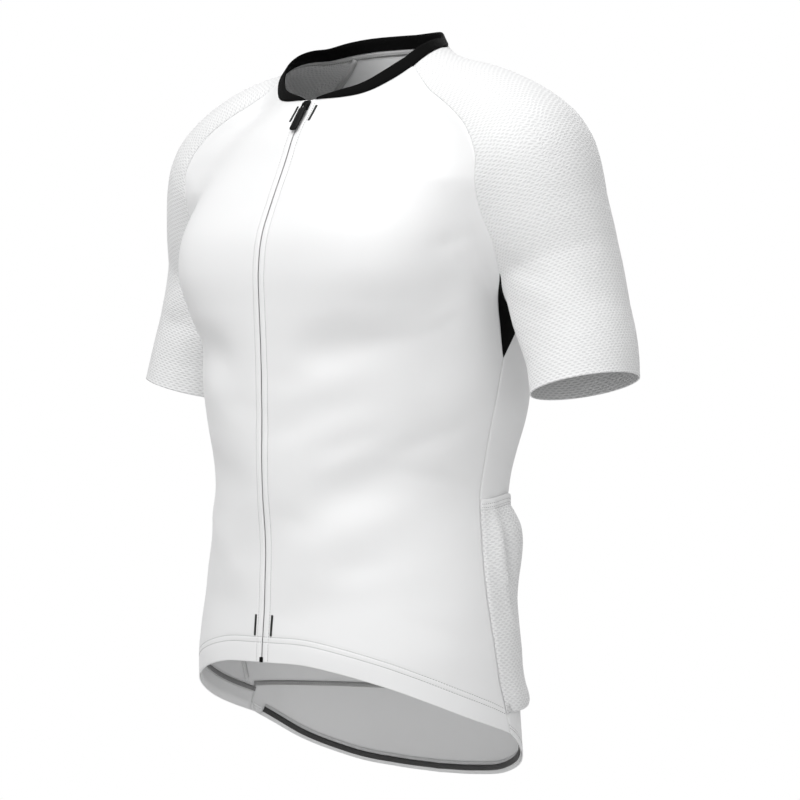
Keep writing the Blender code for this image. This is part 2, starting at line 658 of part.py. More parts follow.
slider_place = zip_place(SLIDER_BELOW)
local_solid("zip_slider", [
    ((-0.0040, -0.0052, LAY_GAP), (0.0040, 0.0058, 0.0028), 0.0006),
    ((-0.0012, -0.0037, 0.0020), (0.0012, -0.0021, 0.0060), 0.0),
    ((-0.0012, 0.0021, 0.0020), (0.0012, 0.0037, 0.0060), 0.0),
    ((-0.0013, -0.0038, 0.0052), (0.0013, 0.0038, 0.0062), 0.0),
], slider_place, BLACK_PLASTIC)
hinge = slider_place[0] + slider_place[2] * HINGE_OUT
pull = local_solid("zip_pull", [
    ((-0.0033, -0.0006, HINGE_OUT - 0.0006), (0.0033, 0.0006, HINGE_OUT + 0.0006), 0.0),
    ((-0.0034, -0.0007, HINGE_OUT - 0.0007), (-0.0020, 0.0080, HINGE_OUT + 0.0007), 0.0),
    ((0.0020, -0.0007, HINGE_OUT - 0.0007), (0.0034, 0.0080, HINGE_OUT + 0.0007), 0.0),
    ((-PULL_WIDTH / 2, 0.0066, HINGE_OUT - PULL_THICK / 2 - 0.0004),
     (PULL_WIDTH / 2, 0.0066 + PULL_LENGTH, HINGE_OUT + PULL_THICK / 2 - 0.0004), 0.0006),
], slider_place, BLACK_PLASTIC)
pull.data.transform(Matrix.Translation(Vector(-hinge)))     # its origin is the axis
pull.location = hinge

# bottom stop, over the foot of the slot
stop_place = zip_place(ZIP_LENGTH_TO_STOP)
local_solid("zip_stop", [
    ((-0.0013, -0.0018, LAY_GAP), (0.0013, 0.0018, 0.0013), 0.0003),
], stop_place, BLACK_PLASTIC)


# ---------------------------------------------------------------- back pockets
def pocket_swell(u, v):
    """How far the pocket panel stands off the back: u across it, v up it."""
    across_one = np.abs(np.sin(np.pi * POCKETS * u)) ** 0.7
    across_one = across_one * (1 + MIDDLE_POCKET * (np.abs(u - 0.5) < 0.5 / POCKETS))
    edge = stepped(u / POCKET_SIDE) * stepped((1 - u) / POCKET_SIDE)
    up = np.interp(v, POCKET_SWELL[:, 0], POCKET_SWELL[:, 1])
    return across_one * edge * up


back_lines = folded(back_grid)
back_out = normal(back_grid)


def between_rows(lines, row):
    """A row of the grid, or one part of the way to the next."""
    low = int(math.floor(row))
    part_way = row - low
    if part_way == 0:
        return lines[low]
    return lines[low] * (1 - part_way) + lines[low + 1] * part_way


pocket_rows = np.linspace(POCKET_FOOT_ROW, POCKET_MOUTH_ROW, POCKET_CELLS + 1)
mouth = between_rows(back_lines, POCKET_MOUTH_ROW)
above = between_rows(back_lines, POCKET_MOUTH_ROW + 1)
band_part = POCKET_BAND / np.linalg.norm(above - mouth, axis=1)[:, None]


def lay_over_back(lines, facing, swell, thick):
    """The outer and inner faces of a layer that lies over the back panel."""
    outer = lines + facing * (LAY_GAP + thick + swell[..., None])
    return outer, outer - facing * thick


u = np.linspace(0.0, 1.0, back_grid.shape[1])[None, :]
v = np.linspace(0.0, 1.0, POCKET_CELLS + 1)[:, None]
lines = np.stack([between_rows(back_lines, row) for row in pocket_rows])
facing = np.stack([between_rows(back_out, row) for row in pocket_rows])
swell = pocket_swell(u, v)
outer, inner = lay_over_back(lines, facing, swell, CLOTH)
wall("pocket_panel", outer, inner, WHITE_MESH)

band_low = mouth + (above - mouth) * (0.0003 / POCKET_BAND) * band_part
band_high = mouth + (above - mouth) * band_part
band_lines = np.stack([band_low, band_high])
mouth_out = between_rows(back_out, POCKET_MOUTH_ROW)
band_facing = np.stack([mouth_out, mouth_out])
band_swell = np.vstack([pocket_swell(u, np.array([[1.0]]))] * 2)
outer, inner = lay_over_back(band_lines, band_facing, band_swell, BAND_WALL)
wall("pocket_band", outer, inner, WHITE_KNIT)

# ---------------------------------------------------------------- hem gripper
def up_columns(lines, reach):
    """Points of each column at a given distance above the hem."""
    places = []
    for column in lines.transpose(1, 0, 2):
        length = np.concatenate([[0.0], np.cumsum(np.linalg.norm(np.diff(column, axis=0),
                                                                axis=1))])
        places.append([np.interp(reach, length, column[:, k]) for k in range(3)])
    return np.array(places)


gripper = np.stack([up_columns(back_lines, GRIPPER_RISE),
                    up_columns(back_lines, GRIPPER_RISE + GRIPPER_WIDTH)])
gripper_out = np.stack([back_out[0], back_out[0]])
gripper_face = gripper - gripper_out * (CLOTH + LAY_GAP)
wall("back_gripper", gripper_face, gripper_face - gripper_out * GRIPPER_THICK, GREY_ELASTIC)
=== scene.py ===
# %% [markdown]
# # A short-sleeve cycling jersey, sewn panel by panel
#
# The solids of this jersey stand where the real garment stands: two fronts, a back,
# two sleeves, underarm gussets, a collar, a zip and rear pockets, all hollow.  This
# lesson lays fine cloth over the same form, sews it with thread, and gives every
# fabric its own knit.  The frame comes first, because each piece rides on it.

# %% Load the frame
import math
import bmesh
import bpy
import numpy as np
from mathutils import Matrix, Vector


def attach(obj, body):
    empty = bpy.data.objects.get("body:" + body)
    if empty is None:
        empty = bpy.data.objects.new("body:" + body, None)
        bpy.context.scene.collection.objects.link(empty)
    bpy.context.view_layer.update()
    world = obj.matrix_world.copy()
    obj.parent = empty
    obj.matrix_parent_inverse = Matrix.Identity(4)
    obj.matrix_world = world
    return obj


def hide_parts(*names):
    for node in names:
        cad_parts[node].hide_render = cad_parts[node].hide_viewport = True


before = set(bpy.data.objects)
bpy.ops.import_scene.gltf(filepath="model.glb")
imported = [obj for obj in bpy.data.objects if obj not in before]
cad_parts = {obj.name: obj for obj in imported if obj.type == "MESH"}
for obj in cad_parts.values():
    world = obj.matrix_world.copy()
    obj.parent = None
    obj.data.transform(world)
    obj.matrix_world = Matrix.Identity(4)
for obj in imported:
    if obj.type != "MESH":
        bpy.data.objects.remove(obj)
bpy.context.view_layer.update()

# %% [markdown]
# ## Camera, light and floor
#
# A garment on a plain ground wants a long lens, so that near and far sleeve keep
# their sizes.  The camera stands level with the waist at the wearer's front left.
# White cloth shows its folds only where the light has a direction: one broad lamp
# above the chest does most of the work, and three weaker ones open up the side, the
# hem and the back.  The sky is brighter overhead than below, so that cloth which
# faces down is greyer.  The camera itself sees plain white.

# %% Camera
CAMERA_TURN = math.radians(45.0)
CAMERA_AWAY = 3.5
CAMERA_HEIGHT = -0.321
CAMERA_LENS = 165.4         # mm, on a sensor 36 mm wide
CAMERA_SHIFT = 0.0475       # share of the picture's width


def in_scene(name, data):
    """A new object that holds this data, linked to the scene."""
    made = bpy.data.objects.new(name, data)
    bpy.context.scene.collection.objects.link(made)
    return made


camera = in_scene("camera", bpy.data.cameras.new("camera"))
camera.data.sensor_width = 36.0
camera.data.lens = CAMERA_LENS
camera.data.shift_x = CAMERA_SHIFT
camera.location = (CAMERA_AWAY * math.sin(CAMERA_TURN), -CAMERA_AWAY * math.cos(CAMERA_TURN),
                   CAMERA_HEIGHT)
camera.rotation_euler = (math.pi / 2, 0.0, CAMERA_TURN)
bpy.context.scene.camera = camera
print("camera at", [round(v, 3) for v in camera.location])

# %% Lamps and sky
LAMPS = [
    # name,       place,               aims at,             size, watts
    ("key_above", (0.10, -1.25, 1.75), (0.0, 0.0, -0.15), 1.5, 42.0),
    ("side_fill", (2.60, -0.50, 0.15), (0.0, 0.0, -0.50), 2.0, 12.0),
    ("low_front", (1.20, -2.40, -1.00), (0.05, -0.05, -0.68), 1.0, 9.0),
    ("rear_fill", (-0.60, 2.50, 0.90), (0.0, 0.05, -0.35), 1.8, 12.0),
]
for name, place, aim, size, watts in LAMPS:
    lamp = bpy.data.lights.new(name, "AREA")
    lamp.shape = "SQUARE"
    lamp.size = size
    lamp.energy = watts
    holder = in_scene(name, lamp)
    holder.location = place
    holder.rotation_euler = (Vector(aim) - Vector(place)).to_track_quat("-Z", "Y").to_euler()

SKY_LIGHT = 0.64             # overhead
LOW_LIGHT = 0.34             # at the horizon and below
sky = bpy.data.worlds.new("studio")
sky.use_nodes = True
bpy.context.scene.world = sky
sky_nodes, join = sky.node_tree.nodes, sky.node_tree.links.new
upward, height, ramp, white, seen, choose = (
    sky_nodes.new("ShaderNode" + kind)
    for kind in ("TexCoord", "SeparateXYZ", "MapRange", "Background", "LightPath", "MixShader"))
glow = sky_nodes["Background"]
ramp.inputs["To Min"].default_value = LOW_LIGHT
ramp.inputs["To Max"].default_value = SKY_LIGHT
white.inputs["Strength"].default_value = 1.0
for lit in (glow, white):
    lit.inputs["Color"].default_value = (1.0, 1.0, 1.0, 1.0)
join(upward.outputs["Generated"], height.inputs[0])
join(height.outputs[2], ramp.inputs["Value"])
join(ramp.outputs[0], glow.inputs["Strength"])
join(seen.outputs["Is Camera Ray"], choose.inputs[0])
join(glow.outputs[0], choose.inputs[1])
join(white.outputs[0], choose.inputs[2])
join(choose.outputs[0], sky_nodes["World Output"].inputs["Surface"])
bpy.context.scene.view_settings.view_transform = "Standard"
print("lamps:", len(LAMPS), "sky:", SKY_LIGHT)

# %% [markdown]
# ## The garment form
#
# Stretch cloth on a general figure is smooth and tight, so every panel lies on one
# common skin.  The trunk is a stack of oval sections and each shoulder with its
# sleeve is a bent tube, and both flow into each other as two drops of water would.
# A signed distance does this well: it says how far any point is from the skin, so a
# point can be moved onto it, and the same skin serves for seams, panels and pockets.
# It could also be sculpted, but then the seams would not close to a hair.

# %% Sections of the trunk, line of the sleeve
TORSO = [
    # z,      half_w, front,  back,   n_front, n_back, side_y
    (0.040, 0.074, 0.055, 0.069, 2.0, 2.0, 0.004),
    (0.010, 0.079, 0.061, 0.073, 2.0, 2.0, 0.005),
    (-0.020, 0.085, 0.069, 0.079, 2.0, 2.1, 0.007),
    (-0.040, 0.100, 0.078, 0.088, 2.1, 2.2, 0.009),
    (-0.070, 0.138, 0.099, 0.104, 2.3, 2.3, 0.010),
    (-0.100, 0.158, 0.112, 0.114, 2.6, 2.4, 0.010),
    (-0.135, 0.166, 0.128, 0.121, 3.1, 2.6, 0.010),
    (-0.170, 0.169, 0.142, 0.124, 3.5, 2.8, 0.010),
    (-0.200, 0.169, 0.146, 0.124, 3.5, 2.9, 0.010),
    (-0.235, 0.167, 0.145, 0.123, 2.9, 2.8, 0.010),
    (-0.275, 0.164, 0.143, 0.121, 2.3, 2.5, 0.010),
    (-0.320, 0.163, 0.142, 0.119, 2.2, 2.4, 0.010),
    (-0.370, 0.156, 0.142, 0.110, 2.1, 2.2, 0.010),
    (-0.410, 0.152, 0.141, 0.101, 2.0, 2.1, 0.010),
    (-0.450, 0.158, 0.137, 0.093, 2.1, 2.1, 0.010),
    (-0.500, 0.167, 0.138, 0.087, 2.2, 2.1, 0.010),
    (-0.550, 0.172, 0.141, 0.087, 2.2, 2.1, 0.010),
    (-0.600, 0.173, 0.143, 0.091, 2.2, 2.1, 0.010),
    (-0.650, 0.174, 0.144, 0.098, 2.2, 2.1, 0.010),
    (-0.720, 0.174, 0.145, 0.098, 2.2, 2.1, 0.010),
]
SLEEVE = [
    # x,     y,     z,      radius
    (0.060, 0.020, -0.045, 0.057),
    (0.100, 0.020, -0.056, 0.056),
    (0.150, 0.017, -0.075, 0.062),
    (0.190, 0.019, -0.106, 0.070),
    (0.209, 0.023, -0.150, 0.063),
    (0.224, 0.030, -0.190, 0.056),
    (0.2375, 0.031, -0.236, 0.0550),
    (0.255, 0.028, -0.281, 0.0515),
    (0.266, 0.020, -0.330, 0.049),
]
BLEND = np.array([
    # z,     how softly sleeve and body join there
    (-0.24, 0.026),
    (-0.17, 0.040),
    (-0.12, 0.055),
    (-0.08, 0.045),
    (-0.04, 0.026),
])
SLEEVE_REACH = -0.42        # below this height no sleeve is near


def line_length(line):
    """How far along a line each of its points lies."""
    return np.concatenate([[0.0], np.cumsum(np.linalg.norm(np.diff(line, axis=0), axis=1))])


def points_at(places, along, line):
    """A line's points, or other values along it, at new places."""
    return np.stack([np.interp(places, along, values) for values in line.T], axis=1)


def unit(vectors):
    return vectors / np.linalg.norm(vectors, axis=-1, keepdims=True)


def even_steps(line, samples):
    """The same line with its points at even steps."""
    length = line_length(line)
    return points_at(np.linspace(0.0, length[-1], samples), length, line)


def between(values, times, axis=0):
    """A grid with a smooth curve of new points between its rows."""
    rows = np.moveaxis(values, axis, 0)
    padded = np.concatenate([2 * rows[:1] - rows[1:2], rows, 2 * rows[-1:] - rows[-2:-1]])
    before, start, end, after = padded[:-3], padded[1:-2], padded[2:-1], padded[3:]
    steps = [0.5 * (2 * start + (end - before) * t
                    + (2 * before - 5 * start + 4 * end - after) * t * t
                    + (3 * start - before - 3 * end + after) * t ** 3)
             for t in np.arange(times) / times]
    fine = np.stack(steps, axis=1).reshape(-1, *rows.shape[1:])
    return np.moveaxis(np.concatenate([fine, rows[-1:]]), 0, axis)


def through(points, samples):
    """A smooth curve through a few points, at even steps along its length."""
    points = np.array(points, float)
    if len(points) > 2:
        points = between(points, 16)
    return even_steps(points, samples)


def by_height(rows, samples=160):
    """Rows of a table turned into a fine smooth one that rises with its first column."""
    rows = np.array(rows, float)[::-1]
    place = rows[:, 0]
    slopes = np.gradient(rows[:, 1:], place, axis=0)
    fine = np.linspace(place[0], place[-1], samples)
    cell = np.clip(np.searchsorted(place, fine, side="right") - 1, 0, len(place) - 2)
    step = (place[cell + 1] - place[cell])[:, None]
    t = ((fine - place[cell]) / step[:, 0])[:, None]
    return fine, ((2 * t ** 3 - 3 * t ** 2 + 1) * rows[cell, 1:]
                  + (t ** 3 - 2 * t ** 2 + t) * step * slopes[cell]
                  + (3 * t ** 2 - 2 * t ** 3) * rows[cell + 1, 1:]
                  + (t ** 3 - t ** 2) * step * slopes[cell + 1])


TORSO_Z, TORSO_FINE = by_height(TORSO)
SLEEVE_POINTS = 60
SLEEVE_LINE = through([row[:3] for row in SLEEVE], SLEEVE_POINTS)
sleeve_steps = np.linalg.norm(np.diff(np.array(SLEEVE)[:, :3], axis=0), axis=1)
SLEEVE_RADIUS = np.interp(np.linspace(0.0, 1.0, SLEEVE_POINTS),
                          np.concatenate([[0.0], np.cumsum(sleeve_steps)]) / sleeve_steps.sum(),
                          np.array(SLEEVE)[:, 3])
print("sleeve line is", round(sleeve_steps.sum(), 3), "m from neck to cuff")

# %% The skin as a distance
def torso_distance(p):
    half_w, front, back, n_front, n_back, side_y = (
        np.interp(p[:, 2], TORSO_Z, TORSO_FINE[:, k]) for k in range(6))
    y = p[:, 1] - side_y
    depth = np.where(y < 0, front, back)
    power = np.where(y < 0, n_front, n_back)
    reach = np.hypot(p[:, 0], y) + 1e-9
    ratio = ((np.abs(p[:, 0]) / half_w) ** power
             + (np.abs(y) / depth) ** power) ** (1.0 / power) + 1e-9
    return reach * (1.0 - 1.0 / ratio)


def sleeve_distance(p):
    q = p.copy()
    q[:, 0] = np.abs(q[:, 0])
    start = SLEEVE_LINE[:-1]
    along = SLEEVE_LINE[1:] - start
    offset = q[:, None, :] - start[None, :, :]
    t = np.clip(np.einsum("nsk,sk->ns", offset, along) / np.sum(along ** 2, axis=1), 0.0, 1.0)
    radius = SLEEVE_RADIUS[:-1] * (1 - t) + SLEEVE_RADIUS[1:] * t
    away = np.linalg.norm(offset - t[:, :, None] * along[None, :, :], axis=2)
    return np.min(away - radius, axis=1)


def form(p):
    """Signed distance to the garment: body and sleeves in one smooth skin."""
    a = torso_distance(p)
    b = np.ones(len(p))
    high = p[:, 2] > SLEEVE_REACH
    if high.any():
        b[high] = sleeve_distance(p[high])
    blend = np.interp(p[:, 2], BLEND[:, 0], BLEND[:, 1])
    mix = np.clip(0.5 + 0.5 * (b - a) / blend, 0.0, 1.0)
    return b * (1 - mix) + a * mix - blend * mix * (1 - mix)


def slope(p, step=0.0005):
    rise = []
    for k in range(3):
        move = np.zeros(3)
        move[k] = step
        rise.append((form(p + move) - form(p - move)) / (2 * step))
    return np.stack(rise, axis=1)


def normal(p):
    """The way the skin faces, taken over a few millimetres."""
    rise = slope(p.reshape(-1, 3), 0.005)
    rise /= np.linalg.norm(rise, axis=1)[:, None] + 1e-12
    return rise.reshape(p.shape)


LONGEST_MOVE = 0.02         # a point goes no farther than this in one round


def settle(p, rounds=4):
    """Move points straight onto the skin."""
    flat = p.reshape(-1, 3).copy()
    for _ in range(rounds):
        rise = slope(flat)
        pull = form(flat)[:, None] * rise / (np.sum(rise ** 2, axis=1)[:, None] + 1e-9)
        flat -= np.clip(pull, -LONGEST_MOVE, LONGEST_MOVE)
    return flat.reshape(p.shape)


waist = settle(np.array([[0.0, -0.15, -0.41]]))[0]
print("front of the waist at y =", round(waist[1], 4))

# %% [markdown]
# ## Seams
#
# A pattern cutter thinks in seam lines, and so does this script.  Each seam of the
# left half is a few points that settle onto the skin; the right half is its mirror
# image.  Neighbouring panels take the very same line as their edge, which keeps the
# garment closed.  The coarse lines give the calm layout of the panels and the fine
# ones carry six times as many points for the finished cloth.

# %% Seam lines
FINE = 6
SEAMS = {
    # seam: cells of the layout along it, and the points that it passes through
    "neck_front": (13, [(0.0, -0.069, -0.0395), (0.035, -0.063, -0.0390),
                        (0.059, -0.052, -0.0340), (0.078, -0.035, -0.0215),
                        (0.089, -0.021, -0.0095)]),
    "neck_side": (4, [(0.089, -0.021, -0.0095), (0.092, -0.004, 0.0030),
                      (0.090, 0.016, 0.0120), (0.082, 0.040, 0.0175), (0.060, 0.057, 0.0200)]),
    "neck_back": (10, [(0.060, 0.057, 0.0200), (0.032, 0.070, 0.0215), (0.0, 0.075, 0.0215)]),
    "raglan_front": (11, [(0.193, -0.016, -0.2060), (0.200, -0.033, -0.1840),
                          (0.197, -0.041, -0.1620), (0.194, -0.047, -0.1400),
                          (0.195, -0.051, -0.1160), (0.194, -0.051, -0.0960),
                          (0.176, -0.046, -0.0690), (0.148, -0.040, -0.0490),
                          (0.116, -0.031, -0.0320), (0.089, -0.021, -0.0095)]),
    "raglan_back": (11, [(0.170, 0.050, -0.2190), (0.176, 0.067, -0.1850),
                         (0.184, 0.080, -0.1450), (0.182, 0.088, -0.1050),
                         (0.164, 0.088, -0.0680), (0.130, 0.081, -0.0340),
                         (0.094, 0.071, -0.0040), (0.060, 0.057, 0.0200)]),
    "gusset_front": (6, [(0.164, 0.022, -0.2815), (0.166, 0.014, -0.2490),
                         (0.174, 0.003, -0.2240), (0.193, -0.016, -0.2060)]),
    "gusset_back": (6, [(0.164, 0.022, -0.2815), (0.167, 0.041, -0.2530),
                        (0.170, 0.050, -0.2190)]),
    "gusset_top": (4, [(0.193, -0.016, -0.2060), (0.180, 0.020, -0.2310),
                       (0.170, 0.050, -0.2190)]),
    "side_low": (3, [(0.168, 0.021, -0.6290), (0.171, 0.013, -0.6020)]),
    "side": (15, [(0.171, 0.013, -0.6020), (0.173, 0.005, -0.5720), (0.168, -0.004, -0.5000),
                  (0.156, 0.001, -0.4300), (0.154, 0.006, -0.3800), (0.160, 0.011, -0.3300),
                  (0.164, 0.022, -0.2815)]),
    "pocket_foot": (10, [(0.171, 0.013, -0.6020), (0.145, 0.066, -0.6020),
                         (0.080, 0.095, -0.6020), (0.0, 0.104, -0.6020)]),
    "hem_front": (13, [(0.0, -0.131, -0.5640), (0.060, -0.120, -0.5665),
                       (0.120, -0.085, -0.5840), (0.156, -0.030, -0.6110),
                       (0.168, 0.021, -0.6290)]),
    "hem_back": (10, [(0.168, 0.021, -0.6290), (0.150, 0.063, -0.6555),
                      (0.100, 0.088, -0.6745), (0.050, 0.100, -0.6810),
                      (0.0, 0.104, -0.6830)]),
}
GUSSET_CELLS = SEAMS["gusset_top"][0]
SLEEVE_CELLS = 14


def seam(points, cells):
    line = settle(through(points, cells + 1))
    ends = line[0].copy(), line[-1].copy()
    line = settle(even_steps(line, cells + 1))
    line[0], line[-1] = ends
    return line


def seams(times):
    """Every seam of the left half, with shared corners and so many times the cells."""
    s = {name: seam(points, cells * times) for name, (cells, points) in SEAMS.items()}
    s["neck_front"][0][0] = 0.0
    s["neck_back"][-1][0] = 0.0
    for line, end, source, at in (
            ("neck_side", 0, "neck_front", -1), ("neck_back", 0, "neck_side", -1),
            ("raglan_front", -1, "neck_front", -1), ("raglan_back", -1, "neck_side", -1),
            ("gusset_front", -1, "raglan_front", 0), ("gusset_back", -1, "raglan_back", 0),
            ("gusset_top", 0, "raglan_front", 0), ("gusset_top", -1, "raglan_back", 0),
            ("gusset_front", 0, "side", -1), ("gusset_back", 0, "side", -1),
            ("side_low", -1, "side", 0), ("pocket_foot", 0, "side", 0),
            ("hem_front", -1, "side_low", 0), ("hem_back", 0, "side_low", 0)):
        s[line][end] = s[source][at]
    s["front_edge"] = np.vstack([s["side_low"], s["side"][1:], s["gusset_front"][1:],
                                 s["raglan_front"][1:]])
    s["back_edge"] = np.vstack([s["side"], s["gusset_back"][1:], s["raglan_back"][1:]])
    rows = len(s["front_edge"])
    zip_line = settle(np.column_stack([
        np.zeros(rows), np.linspace(-0.13, -0.07, rows),
        np.linspace(s["hem_front"][0][2], s["neck_front"][0][2], rows)]), 12)
    zip_line[:, 0] = 0.0
    s["zip"] = zip_line
    s["hem_front"][0] = zip_line[0]
    s["neck_front"][0] = zip_line[-1]
    return s


SIDES = ((1, "left"), (-1, "right"))


def mirrored(points):
    return points * np.array([-1.0, 1.0, 1.0])


def on_side(points, side):
    """Points of the left half as they are, or mirrored for the right one."""
    return points if side > 0 else mirrored(points)


def whole(half):
    """A line of the left half carried on to the right one."""
    return np.vstack([half, mirrored(half[-2::-1])])


coarse = seams(1)
fine = seams(FINE)
print("points on a front's side edge:", len(coarse["front_edge"]), "then",
      len(fine["front_edge"]))

# %% [markdown]
# ## Folds and creases
#
# Even a tight jersey is never quite smooth.  Cloth drags from the armpit to the
# chest, gathers in soft troughs over the belly and the small of the back, and
# breaks where the arm hangs.  Each fold is a line with a width and a depth, placed
# one by one.  The broad ones are in the solids too.  The finer ones are uneven on
# purpose, because two equal creases side by side look drawn with a ruler.

# %% Fold tables
FOLDS = [
    # x0,    y0,    z0,     x1,    y1,    z1,     width, depth,  both
    (0.150, -0.050, -0.235, 0.050, -0.138, -0.286, 0.021, -0.0060, 1),
    (0.150, -0.060, -0.275, 0.040, -0.140, -0.335, 0.020, 0.0020, 1),
    (0.020, -0.140, -0.345, 0.120, -0.100, -0.310, 0.019, -0.0034, 0),
    (0.050, -0.132, -0.425, 0.138, -0.075, -0.375, 0.020, -0.0038, 0),
    (-0.020, -0.138, -0.405, -0.120, -0.085, -0.370, 0.022, -0.0034, 0),
    (0.040, -0.135, -0.465, 0.140, -0.060, -0.415, 0.020, 0.0030, 1),
    (0.030, -0.135, -0.515, 0.150, -0.050, -0.500, 0.021, -0.0034, 1),
    (0.060, -0.130, -0.560, 0.150, -0.050, -0.560, 0.018, 0.0024, 1),
    (0.145, 0.040, -0.385, 0.030, 0.118, -0.365, 0.020, -0.0032, 1),
    (0.140, 0.060, -0.335, 0.030, 0.122, -0.335, 0.019, 0.0022, 1),
    (0.140, 0.060, -0.290, 0.050, 0.125, -0.262, 0.020, -0.0028, 1),
    (0.205, -0.020, -0.230, 0.262, -0.020, -0.255, 0.016, -0.0022, 1),
    (0.225, 0.080, -0.215, 0.285, 0.045, -0.245, 0.016, -0.0022, 1),
]
CREASES = [
    # chest and armpit
    (0.165, -0.045, -0.212, 0.118, -0.108, -0.232, 0.010, -0.0013, 1),
    (0.162, -0.048, -0.252, 0.100, -0.120, -0.276, 0.009, -0.0012, 0),
    (-0.160, -0.048, -0.246, -0.108, -0.115, -0.288, 0.011, -0.0013, 0),
    (0.172, -0.035, -0.232, 0.140, -0.085, -0.262, 0.008, 0.0010, 1),
    (0.183, -0.040, -0.172, 0.150, -0.075, -0.186, 0.007, -0.0014, 1),
    # belly
    (0.006, -0.142, -0.300, 0.062, -0.137, -0.309, 0.012, -0.0017, 0),
    (0.006, -0.142, -0.356, 0.052, -0.138, -0.347, 0.012, -0.0017, 0),
    (-0.006, -0.142, -0.332, -0.058, -0.137, -0.323, 0.012, -0.0017, 0),
    (0.008, -0.139, -0.428, 0.072, -0.129, -0.443, 0.013, -0.0018, 0),
    (-0.008, -0.139, -0.468, -0.066, -0.129, -0.459, 0.012, -0.0016, 0),
    (0.008, -0.140, -0.519, 0.050, -0.136, -0.526, 0.011, -0.0014, 0),
    (0.060, -0.128, -0.372, 0.118, -0.098, -0.352, 0.012, -0.0018, 0),
    (0.078, -0.120, -0.480, 0.128, -0.090, -0.468, 0.013, -0.0018, 0),
    (-0.074, -0.122, -0.430, -0.126, -0.090, -0.446, 0.013, -0.0018, 0),
    # flanks
    (0.158, -0.012, -0.338, 0.130, -0.078, -0.366, 0.011, -0.0017, 0),
    (0.153, -0.015, -0.398, 0.128, -0.075, -0.388, 0.009, -0.0010, 1),
    (-0.160, -0.012, -0.356, -0.132, -0.078, -0.341, 0.010, -0.0012, 0),
    (0.166, -0.020, -0.548, 0.136, -0.082, -0.520, 0.011, -0.0011, 0),
    # sleeves
    (0.205, -0.032, -0.196, 0.256, -0.022, -0.214, 0.009, -0.0012, 1),
    (0.214, -0.022, -0.258, 0.268, -0.018, -0.276, 0.010, -0.0010, 0),
    (-0.212, -0.022, -0.250, -0.262, -0.020, -0.240, 0.010, -0.0011, 0),
    (0.208, 0.084, -0.186, 0.266, 0.076, -0.206, 0.009, -0.0012, 1),
    (0.216, 0.082, -0.252, 0.276, 0.062, -0.268, 0.010, -0.0010, 0),
    (0.288, -0.004, -0.212, 0.296, 0.040, -0.236, 0.012, -0.0012, 1),
    # back
    (0.062, 0.131, -0.150, 0.090, 0.128, -0.246, 0.014, -0.0013, 1),
    (0.022, 0.106, -0.406, 0.102, 0.094, -0.394, 0.009, -0.0012, 0),
    (-0.014, 0.107, -0.386, -0.098, 0.099, -0.402, 0.009, -0.0011, 0),
    (0.136, 0.056, -0.412, 0.066, 0.098, -0.420, 0.008, -0.0010, 1),
    (0.150, 0.052, -0.252, 0.112, 0.110, -0.236, 0.009, -0.0011, 1),
]


def folded(p):
    """Points moved along the skin's normal by the cloth's folds."""
    flat = p.reshape(-1, 3)
    push = np.zeros(len(flat))
    for x0, y0, z0, x1, y1, z1, width, depth, both in FOLDS + CREASES:
        for side in ((1, -1) if both else (1,)):
            start = np.array([x0 * side, y0, z0])
            along = np.array([x1 * side, y1, z1]) - start
            t = np.clip((flat - start) @ along / (along @ along), 0.0, 1.0)
            away = np.linalg.norm(flat - start - t[:, None] * along, axis=1)
            taper = np.sin(np.pi * np.clip(0.12 + 0.76 * t, 0, 1))
            push += depth * taper * np.exp(-(away / width) ** 2)
    return (flat + push[:, None] * normal(flat)).reshape(p.shape)


print("folds:", len(FOLDS), "finer creases:", len(CREASES))

# %% [markdown]
# ## Panels and their flat cut
#
# Between four seams a panel is a net of threads.  It is laid out coarsely, evened
# like a stretched net, and then refined.  The same net also tells how the panel was
# cut: relaxing it on a flat table, with every thread keeping its length, gives the
# paper pattern.  That flat pattern is the best map for the knit, since real fabric
# was knitted flat, and it says how much cloth each panel takes.

# %% Layout, refinement and flat pattern
def even_out(grid, rounds, each_round=True):
    """Relax the inside of a grid, keeping it on the skin."""
    for _ in range(rounds):
        middle = (grid[2:, 1:-1] + grid[:-2, 1:-1] + grid[1:-1, 2:] + grid[1:-1, :-2]) / 4.0
        grid[1:-1, 1:-1] = settle(middle, 1) if each_round else middle
    grid[1:-1, 1:-1] = settle(grid[1:-1, 1:-1])
    return grid


def panel(bottom, top, left, right, rounds=60):
    """A net of points on the skin between four seams, its rows from bottom to top."""
    v = np.linspace(0.0, 1.0, len(left))[:, None, None]
    u = np.linspace(0.0, 1.0, len(bottom))[None, :, None]
    grid = ((1 - v) * bottom[None] + v * top[None] + (1 - u) * left[:, None]
            + u * right[:, None]
            - (1 - u) * (1 - v) * bottom[0] - u * (1 - v) * bottom[-1]
            - (1 - u) * v * top[0] - u * v * top[-1])
    grid[1:-1, 1:-1] = settle(grid[1:-1, 1:-1])
    return even_out(grid, rounds)


def finer(grid):
    """A grid with FINE times as many cells each way."""
    return between(between(grid, FINE, 0), FINE, 1)


def refined(grid, bottom, top, left, right):
    """The same panel made finer, with the fine seams as its edges."""
    out = finer(grid)
    out[0], out[-1], out[:, 0], out[:, -1] = bottom, top, left, right
    return even_out(out, 8, each_round=False)


